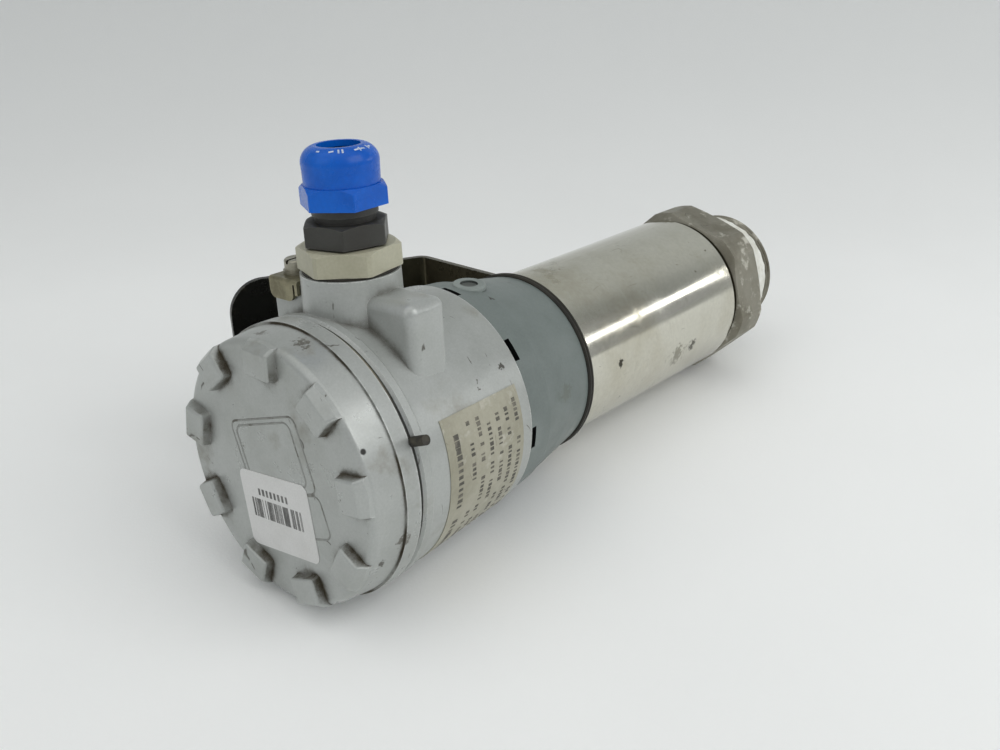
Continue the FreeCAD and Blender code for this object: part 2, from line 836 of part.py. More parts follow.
def make_cell():
    """Ceramic measuring cell behind the diaphragm."""
    seat = thread_length - diaphragm_recess
    return rod(measuring_bore - seat_clearance, seat - cell_thickness, seat)


def make_retainer():
    """Threaded ring that holds the cell in its bore."""
    front = thread_length - diaphragm_recess - cell_thickness
    return ring(measuring_bore - seat_clearance, measuring_bore - retainer_wall, front - retainer_length,
                front)


def make_board():
    """Amplifier board standing in the tube behind the retainer."""
    front = thread_length - diaphragm_recess - cell_thickness - retainer_length
    return slab(front - board_length, front, -board_thickness / 2, board_thickness / 2, -board_width / 2,
                board_width / 2)


def make_lead():
    """Inner lead from the amplifier board to the electronics insert."""
    front = thread_length - diaphragm_recess - cell_thickness - retainer_length - board_length
    return rod(lead_radius, chamber_back, front)


def make_insert():
    """Potted electronics insert with a stepped rim and a notch for the ground post."""
    rim_front = chamber_back - insert_rim_length
    body = turned([
        (chamber_back, 0),
        (chamber_back, insert_radius),
        (rim_front, insert_radius),
        (rim_front, insert_radius - insert_rim_step),
        (insert_front, insert_radius - insert_rim_step),
        (insert_front, 0),
    ])
    notch = rod(ground_post_radius + body_gap, insert_front, chamber_back, 0, -ground_post_drop)
    notch = notch.fuse(slab(insert_front, chamber_back, -ground_post_radius - body_gap,
                            ground_post_radius + body_gap,
                            -insert_radius, -ground_post_drop))
    holes = [insert_screw_shape(seat_clearance, side, 0) for side in (-1, 1)]
    return body.cut(notch.multiFuse(holes)).removeSplitter()


def terminal_positions():
    """Where the terminals stand along Y."""
    middle = (terminal_count - 1) / 2
    return [(step - middle) * terminal_pitch for step in range(terminal_count)]


def make_terminal_block():
    """Terminal block with a screw well and a wire entry for each terminal."""
    half_length = terminal_count * terminal_pitch / 2
    half_width = terminal_width / 2
    block = slab(terminal_front, insert_front, -half_length, half_length, -half_width, half_width)
    wells = []
    for position in terminal_positions():
        wells.append(rod(terminal_well_radius, terminal_front, terminal_front + terminal_well_depth,
                         position))
        shank_end = terminal_front + terminal_well_depth + terminal_shank_length
        wells.append(rod(insert_screw_radius, terminal_front, shank_end, position))
        entry = pin(wire_entry_radius, half_width - wire_entry_depth, half_width, shank_end, position)
        wells.append(entry)
    return block.cut(wells[0].multiFuse(wells[1:])).removeSplitter()


def make_terminal_screws():
    """The terminal screws, one solid each."""
    seat = terminal_front + terminal_well_depth
    screws = []
    for position in terminal_positions():
        head = rod(terminal_head_radius, seat - terminal_head_height, seat, position)
        shank = rod(insert_screw_radius - seat_clearance, seat, seat + terminal_shank_length, position)
        screws.append(head.fuse(shank).removeSplitter())
    return Part.makeCompound(screws)


def make_insert_screws():
    """The two screws that hold the electronics insert, one solid each."""
    screws = [insert_screw_shape(0, side, insert_head_height) for side in (-1, 1)]
    return Part.makeCompound([screw.removeSplitter() for screw in screws])


def make_inner_ground_screw():
    """Ground screw on its post inside the housing."""
    shank = rod(insert_screw_radius, insert_front, chamber_back, 0, -ground_post_drop)
    head = rod(insert_head_radius, insert_front - insert_head_height, insert_front, 0, -ground_post_drop)
    return shank.fuse(head).removeSplitter()


nodes = {
    "housing": make_housing(),
    "cover": make_cover(),
    "cover_seal": make_cover_seal(),
    "asset_sticker": make_sticker(),
    "type_label": make_type_label(),
    "entry_gasket": gasket(entry_boss_radius - gasket_setback, entry_thread_radius + seat_clearance,
                           entry_boss_top, adapter_bottom),
    "entry_adapter": make_entry_adapter(),
    "gland_gasket": gasket(gland_hex_across_flats / 2 - gasket_setback,
                           gland_thread_radius + seat_clearance,
                           adapter_top, gland_hex_bottom),
    "gland_body": make_gland_body(),
    "gland_seal": make_gland_seal(),
    "gland_cap": make_gland_cap(),
    "ground_clamp": make_ground_clamp(),
    "ground_washer": make_ground_washer(),
    "ground_screw": make_ground_screw(),
    "collar": make_collar(),
    "vent": make_vent(),
    "neck_seal": ring(neck_seal_radius, nipple_radius + seat_clearance, neck_seal_back, bracket_back),
    "mounting_bracket": make_bracket(),
    "body_tube": make_tube(),
    "process_connection": make_process_connection(),
    "thread_tape": make_tape(),
    "diaphragm": make_diaphragm(),
    "measuring_cell": make_cell(),
    "cell_retainer": make_retainer(),
    "amplifier_board": make_board(),
    "sensor_lead": make_lead(),
    "electronics_insert": make_insert(),
    "insert_screws": make_insert_screws(),
    "terminal_block": make_terminal_block(),
    "terminal_screws": make_terminal_screws(),
    "inner_ground_screw": make_inner_ground_screw(),
}

os.makedirs("parts", exist_ok=True)
for name, shape in nodes.items():
    shape.exportStep("parts/" + name + ".step")
    print(name, shape.isValid(), len(shape.Solids), round(shape.Volume, 1))
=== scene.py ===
import bmesh
import bpy
import json
import math
from mathutils import Matrix, Vector, noise
from mathutils.bvhtree import BVHTree


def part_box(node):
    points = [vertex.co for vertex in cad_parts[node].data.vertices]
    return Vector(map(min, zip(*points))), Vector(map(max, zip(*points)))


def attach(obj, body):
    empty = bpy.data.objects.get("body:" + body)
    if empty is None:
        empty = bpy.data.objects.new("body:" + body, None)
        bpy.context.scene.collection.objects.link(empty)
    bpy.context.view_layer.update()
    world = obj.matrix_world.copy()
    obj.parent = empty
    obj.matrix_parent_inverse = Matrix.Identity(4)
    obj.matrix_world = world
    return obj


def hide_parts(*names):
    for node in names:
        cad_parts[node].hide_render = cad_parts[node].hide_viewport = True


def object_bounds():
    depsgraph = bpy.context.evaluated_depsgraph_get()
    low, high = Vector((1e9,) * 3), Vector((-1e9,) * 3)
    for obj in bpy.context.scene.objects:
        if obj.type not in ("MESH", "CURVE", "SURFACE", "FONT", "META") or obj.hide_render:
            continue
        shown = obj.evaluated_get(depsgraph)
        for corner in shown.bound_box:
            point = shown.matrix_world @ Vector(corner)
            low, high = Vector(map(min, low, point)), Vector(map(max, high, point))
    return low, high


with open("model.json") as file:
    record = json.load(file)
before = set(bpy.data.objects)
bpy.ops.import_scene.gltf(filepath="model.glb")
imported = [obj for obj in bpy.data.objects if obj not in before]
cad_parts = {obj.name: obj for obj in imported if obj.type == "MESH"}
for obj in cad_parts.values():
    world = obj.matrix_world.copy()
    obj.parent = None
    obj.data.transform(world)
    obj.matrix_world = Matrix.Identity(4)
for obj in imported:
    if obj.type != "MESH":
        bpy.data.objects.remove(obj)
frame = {"nodes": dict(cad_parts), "record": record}
nodes = frame["nodes"]
cadLow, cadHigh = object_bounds()
mm = 0.001
print("frame loaded,", len(nodes), "nodes")


# colours and node helpers
def paint(red, green, blue):
    # a screen colour, 0 to 255, as linear light
    shares = [value / 255 for value in (red, green, blue)]
    linear = [((c + 0.055) / 1.055) ** 2.4 if c > 10 / 255 else c / 12.92 for c in shares]
    return (*linear, 1.0)


def feed(tree, node, feeds):
    # links what comes from a node, and sets plain values on the sockets
    for key, value in feeds.items():
        if isinstance(value, bpy.types.NodeSocket):
            tree.links.new(value, node.inputs[key])
        else:
            node.inputs[key].default_value = value


def put(tree, kind, feeds=None, **settings):
    node = tree.nodes.new(kind)
    for key, value in settings.items():
        setattr(node, key, value)
    feed(tree, node, feeds or {})
    return node


def calc(tree, operation, *values):
    return put(tree, "ShaderNodeMath", dict(enumerate(values)), operation=operation).outputs[0]


def times(tree, first, second):
    return calc(tree, "MULTIPLY", first, second)


def plus(tree, first, second):
    return calc(tree, "ADD", first, second)


def minus(tree, first, second):
    return calc(tree, "SUBTRACT", first, second)


def length(tree, first, second):
    return calc(tree, "SQRT", plus(tree, times(tree, first, first), times(tree, second, second)))


def joined(tree, x, y, z):
    return put(tree, "ShaderNodeCombineXYZ", {0: x, 1: y, 2: z}).outputs[0]


def split(tree, vector):
    return put(tree, "ShaderNodeSeparateXYZ", {0: vector}).outputs


def stretched(tree, vector, factors):
    return put(tree, "ShaderNodeVectorMath", {0: vector, 1: factors}, operation="MULTIPLY").outputs[0]


def mixColour(tree, share, first, second, how="MIX"):
    feeds = {0: share, 6: first, 7: second}
    return put(tree, "ShaderNodeMix", feeds, data_type="RGBA", blend_type=how).outputs[2]


def mixValue(tree, share, first, second):
    return put(tree, "ShaderNodeMix", {0: share, 2: first, 3: second}, data_type="FLOAT").outputs[0]


def ease(tree, value, low, high, lowOut=0.0, highOut=1.0):
    feeds = {0: value, 1: low, 2: high, 3: lowOut, 4: highOut}
    return put(tree, "ShaderNodeMapRange", feeds, interpolation_type="SMOOTHSTEP").outputs[0]


def cloud(tree, vector, scale, detail=5.0, roughness=0.6):
    feeds = {"Vector": vector, "Scale": scale, "Detail": detail, "Roughness": roughness}
    return put(tree, "ShaderNodeTexNoise", feeds).outputs[0]


def dot(tree, first, second):
    feeds = {0: first, 1: second}
    return put(tree, "ShaderNodeVectorMath", feeds, operation="DOT_PRODUCT").outputs["Value"]


def makeEffect(name, output, rule, **inputs):
    # a shader group with named inputs, whose nodes the rule makes
    tree = bpy.data.node_groups.new(name, "ShaderNodeTree")
    for label, value in {"Vector": (0, 0, 0), **inputs}.items():
        kind = "NodeSocketVector" if isinstance(value, tuple) else "NodeSocketFloat"
        tree.interface.new_socket(name=label, in_out="INPUT", socket_type=kind).default_value = value
    tree.interface.new_socket(name=output, in_out="OUTPUT", socket_type="NodeSocketFloat")
    given = tree.nodes.new("NodeGroupInput").outputs
    result = rule(tree, *[given[label] for label in ("Vector", *inputs)])
    tree.links.new(result, tree.nodes.new("NodeGroupOutput").inputs[0])
    return tree


def use(tree, group, **feeds):
    return put(tree, "ShaderNodeGroup", feeds, node_tree=group).outputs[0]


# effects that several materials share
def patchRule(tree, place, scale, level, soft):
    # soft blotches: fading, stains, smears
    value = cloud(tree, place, scale, detail=7.0, roughness=0.62)
    return ease(tree, value, level, plus(tree, level, soft))


def edgeRule(tree, place, reach, amount):
    # rubbed outer edges, broken up by noise; where the edge colour is bright, as on the cover and housing,
    # it is also a painted highlight
    rounded = put(tree, "ShaderNodeBevel", {"Radius": reach}, samples=6).outputs[0]
    flat = put(tree, "ShaderNodeNewGeometry").outputs["Normal"]
    edge = ease(tree, minus(tree, 1.0, dot(tree, rounded, flat)), 0.03, 0.22)
    broken = ease(tree, cloud(tree, place, 420.0, detail=6.0, roughness=0.7), 0.36, 0.62)
    return times(tree, times(tree, edge, broken), amount)


def creviceRule(tree, place, reach, low, high, amount):
    # dirt held in corners, and painted shade there, from how far nearby faces close in; more of it shows as
    # low and high go down
    feeds = {"Distance": reach}
    openSky = put(tree, "ShaderNodeAmbientOcclusion", feeds, samples=12, only_local=True).outputs["AO"]
    fine = cloud(tree, place, 210.0, detail=6.0, roughness=0.7)
    uneven = times(tree, minus(tree, fine, 0.5), 0.5)
    shut = ease(tree, plus(tree, minus(tree, 1.0, openSky), uneven), low, high)
    patchy = ease(tree, cloud(tree, place, 60.0, detail=3.0), 0.36, 0.56, lowOut=0.35)
    return times(tree, times(tree, shut, patchy), amount)


def grainRule(tree, place, scale):
    # the fine skin of paint, castings and moulded plastic
    fine = cloud(tree, place, scale, detail=3.0)
    broad = cloud(tree, place, times(tree, scale, 0.22), detail=2.0, roughness=0.5)
    return plus(tree, times(tree, fine, 0.55), times(tree, broad, 0.45))


def brushRule(tree, place, stretch):
    # fine lines left by turning or brushing; stretch is large across the lines and small along them
    return cloud(tree, stretched(tree, place, stretch), 1.0, detail=4.0, roughness=0.7)


def scratchRule(tree, place, stretch, width, level):
    # thin wandering lines, kept to some areas
    wander = cloud(tree, stretched(tree, place, stretch), 1.0, detail=2.0, roughness=0.4)
    line = calc(tree, "ABSOLUTE", minus(tree, wander, 0.5))
    thin = minus(tree, 1.0, ease(tree, line, 0.0, width))
    areas = cloud(tree, place, 130.0, detail=3.0, roughness=0.5)
    return times(tree, thin, ease(tree, areas, level, plus(tree, level, 0.05)))


def spotRule(tree, place, centre, size, ragged):
    # one ragged mark round a point
    away = put(tree, "ShaderNodeVectorMath", {0: place, 1: centre}, operation="DISTANCE").outputs["Value"]
    torn = times(tree, minus(tree, cloud(tree, place, 700.0, detail=4.0), 0.5), 3.0)
    uneven = plus(tree, calc(tree, "DIVIDE", away, size), times(tree, torn, ragged))
    return minus(tree, 1.0, ease(tree, uneven, 0.55, 1.0))


def insideRule(tree, place, station, radius):
    # the part of a shell in front of a station and inside a radius
    x, y, z = split(tree, place)
    near = calc(tree, "LESS_THAN", length(tree, y, z), radius)
    return times(tree, near, calc(tree, "LESS_THAN", x, station))


def riseRule(tree, place, way, low, high):
    # a soft change from one place to another along a direction
    return ease(tree, dot(tree, place, way), low, high)


patches = makeEffect("patches", "Mask", patchRule, Scale=60.0, Level=0.5, Soft=0.2)
edgeWearAndHighlight = makeEffect("edgeWearAndHighlight", "Mask", edgeRule, Reach=0.0006, Amount=1.0)
creviceDirtAndShade = makeEffect("creviceDirtAndShade", "Mask", creviceRule, Reach=0.004, Low=0.14, High=0.46, Amount=1.0)
grain = makeEffect("grain", "Height", grainRule, Scale=2500.0)
brushing = makeEffect("brushing", "Height", brushRule, Stretch=(3000.0, 40.0, 40.0))
scratches = makeEffect("scratches", "Mask", scratchRule, Stretch=(90.0, 30.0, 30.0), Width=0.004,
                       Level=0.55)
spot = makeEffect("spot", "Mask", spotRule, Centre=(0, 0, 0), Size=0.002, Ragged=0.6)
inside = makeEffect("inside", "Mask", insideRule, Station=0.0, Radius=0.0)
rise = makeEffect("rise", "Mask", riseRule, Way=(1, 0, 0), From=0.0, To=1.0)
print("shared effects made")


# the finish of a surface, from one dictionary, in the order in which its layers are laid
# a band is (direction, from, to, colour); a spot is (centre, size, raggedness, colour, amount)
# shadowed is (station, radius, colour), the inside of a shell in front of that station
plainLook = {
    "shade": None, "toneScale": 45.0, "toneLevel": 0.42, "toneSoft": 0.25, "bands": (),
    "rough": (0.45, 0.6), "metal": 0.0, "coat": 0.0, "coatRough": 0.1, "specular": 0.5,
    "grainScale": 2500.0, "grainHeight": 0.00004, "stretch": None, "brushHeight": 0.0, "brushTone": 0.0,
    "stain": None, "stainScale": 80.0, "stainLevel": 0.6, "stainSoft": 0.14, "stainAmount": 0.0,
    "stainRough": 0.7,
    "fleck": None, "fleckScale": 300.0, "fleckLevel": 0.68, "fleckSoft": 0.05, "fleckAmount": 0.8,
    "edge": None, "edgeReach": 0.0006, "edgeAmount": 0.0, "edgeMetal": 0.0, "edgeRough": 0.35,
    "scratch": None, "scratchStretch": (90.0, 30.0, 30.0), "scratchWidth": 0.004, "scratchLevel": 0.56,
    "scratchDepth": 0.0,
    "dirtAndShade": None, "dirtAndShadeReach": 0.004, "dirtAndShadeLow": 0.14, "dirtAndShadeHigh": 0.46, "dirtAndShadeAmount": 0.0,
    "dirtAndShadeRough": 0.85,
    "spots": (), "shadowed": None,
}


def startMaterial(name):
    material = bpy.data.materials.new(name)
    material.use_nodes = True
    tree = material.node_tree
    return material, tree, tree.nodes["Principled BSDF"], put(tree, "ShaderNodeTexCoord").outputs["Object"]


def makeFinish(name, look):
    look = {**plainLook, **look}
    material, tree, shader, place = startMaterial(name)
    shade = look["shade"] or [0.82 * c for c in look["colour"][:3]] + [1.0]
    tone = use(tree, patches, Vector=place, Scale=look["toneScale"], Level=look["toneLevel"],
               Soft=look["toneSoft"])
    colour = mixColour(tree, tone, look["colour"], shade)
    for way, low, high, shown in look["bands"]:
        colour = mixColour(tree, use(tree, rise, Vector=place, Way=way, From=low, To=high), colour, shown)
    fineTone = cloud(tree, place, look["grainScale"] * 0.5, detail=2.0, roughness=0.5)
    speckle = mixColour(tree, fineTone, (0.88, 0.88, 0.88, 1), (1.1, 1.1, 1.1, 1))
    colour = mixColour(tree, 1.0, colour, speckle, "MULTIPLY")
    smears = cloud(tree, place, look["toneScale"] * 2.3, detail=5.0, roughness=0.65)
    rough = ease(tree, smears, 0.3, 0.7, *look["rough"])
    metal = look["metal"]
    skin = use(tree, grain, Vector=place, Scale=look["grainScale"])
    height = times(tree, skin, look["grainHeight"])
    if look["stretch"]:
        lines = use(tree, brushing, Vector=place, Stretch=look["stretch"])
        low, high = 1.0 - look["brushTone"], 1.0 + look["brushTone"]
        bright = mixColour(tree, lines, (low, low, low, 1), (high, high, high, 1))
        colour = mixColour(tree, 1.0, colour, bright, "MULTIPLY")
        height = plus(tree, height, times(tree, lines, look["brushHeight"]))
    if look["stain"]:
        stained = use(tree, patches, Vector=place, Scale=look["stainScale"], Level=look["stainLevel"],
                      Soft=look["stainSoft"])
        stained = times(tree, stained, look["stainAmount"])
        colour = mixColour(tree, stained, colour, look["stain"])
        rough = mixValue(tree, stained, rough, look["stainRough"])
    if look["fleck"]:
        flecks = use(tree, patches, Vector=place, Scale=look["fleckScale"], Level=look["fleckLevel"],
                     Soft=look["fleckSoft"])
        colour = mixColour(tree, times(tree, flecks, look["fleckAmount"]), colour, look["fleck"])
    if look["edge"]:
        wornAndHighlit = use(tree, edgeWearAndHighlight, Vector=place, Reach=look["edgeReach"], Amount=look["edgeAmount"])
        colour = mixColour(tree, wornAndHighlit, colour, look["edge"])
        rough = mixValue(tree, wornAndHighlit, rough, look["edgeRough"])
        metal = mixValue(tree, wornAndHighlit, look["metal"], look["edgeMetal"])
    if look["scratch"]:
        cut = use(tree, scratches, Vector=place, Stretch=look["scratchStretch"], Width=look["scratchWidth"],
                  Level=look["scratchLevel"])
        colour = mixColour(tree, cut, colour, look["scratch"])
        height = minus(tree, height, times(tree, cut, look["scratchDepth"]))
    # dirt and painted shade in corners, creases and gaps
    if look["dirtAndShade"]:
        dirtyAndShaded = use(tree, creviceDirtAndShade, Vector=place, Reach=look["dirtAndShadeReach"], Low=look["dirtAndShadeLow"],
                    High=look["dirtAndShadeHigh"], Amount=look["dirtAndShadeAmount"])
        colour = mixColour(tree, dirtyAndShaded, colour, look["dirtAndShade"])
        rough = mixValue(tree, dirtyAndShaded, rough, look["dirtAndShadeRough"])
    for centre, size, ragged, shown, amount in look["spots"]:
        mark = use(tree, spot, Vector=place, Centre=centre, Size=size, Ragged=ragged)
        colour = mixColour(tree, times(tree, mark, amount), colour, shown)
    if look["shadowed"]:
        station, radius, shown = look["shadowed"]
        hidden = use(tree, inside, Vector=place, Station=station, Radius=radius)
        colour = mixColour(tree, hidden, colour, shown)
    bump = put(tree, "ShaderNodeBump", {"Strength": 1.0, "Distance": 1.0, "Height": height}).outputs[0]
    feed(tree, shader, {
        "Base Color": colour, "Roughness": rough, "Normal": bump, "Metallic": metal,
        "Coat Weight": look["coat"], "Coat Roughness": look["coatRough"],
        "Specular IOR Level": look["specular"]})
    return material


# where things are
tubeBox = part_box("body_tube")
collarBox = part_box("collar")
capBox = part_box("gland_cap")
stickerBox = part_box("asset_sticker")
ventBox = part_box("vent")
entryX = (capBox[0].x + capBox[1].x) / 2
coverFace = stickerBox[1].x
notchEnd = collarBox[0].x + 3.0 * mm       # the bottom of the notches in the collar's front edge
notchRadius = 37.0 * mm                    # farther in than this, the collar's inside is painted dark as shade
hexBack = -18.0 * mm                       # where the hexagon's back face stands
tubeRadius = tubeBox[1].y
ventAngle, ventRadius = 96, 37.0 * mm      # the vent's top, round the main axis


def heading(angle):
    return math.cos(math.radians(angle)), math.sin(math.radians(angle))


def onAxis(x, angle, radius):
    # a point round the main axis; the angle is from +Y towards +Z
    across, up = heading(angle)
    return Vector((x, radius * across, radius * up))


ventTop = onAxis((ventBox[0].x + ventBox[1].x) / 2, ventAngle, ventRadius)
# the colour of dirt in corners, which also paints the shade that falls there
grimeAndShade = paint(70, 63, 48)
# bare metal on rubbed edges, made bright enough to be a painted highlight along them too
bareEdgeAndHighlight = paint(224, 226, 223)

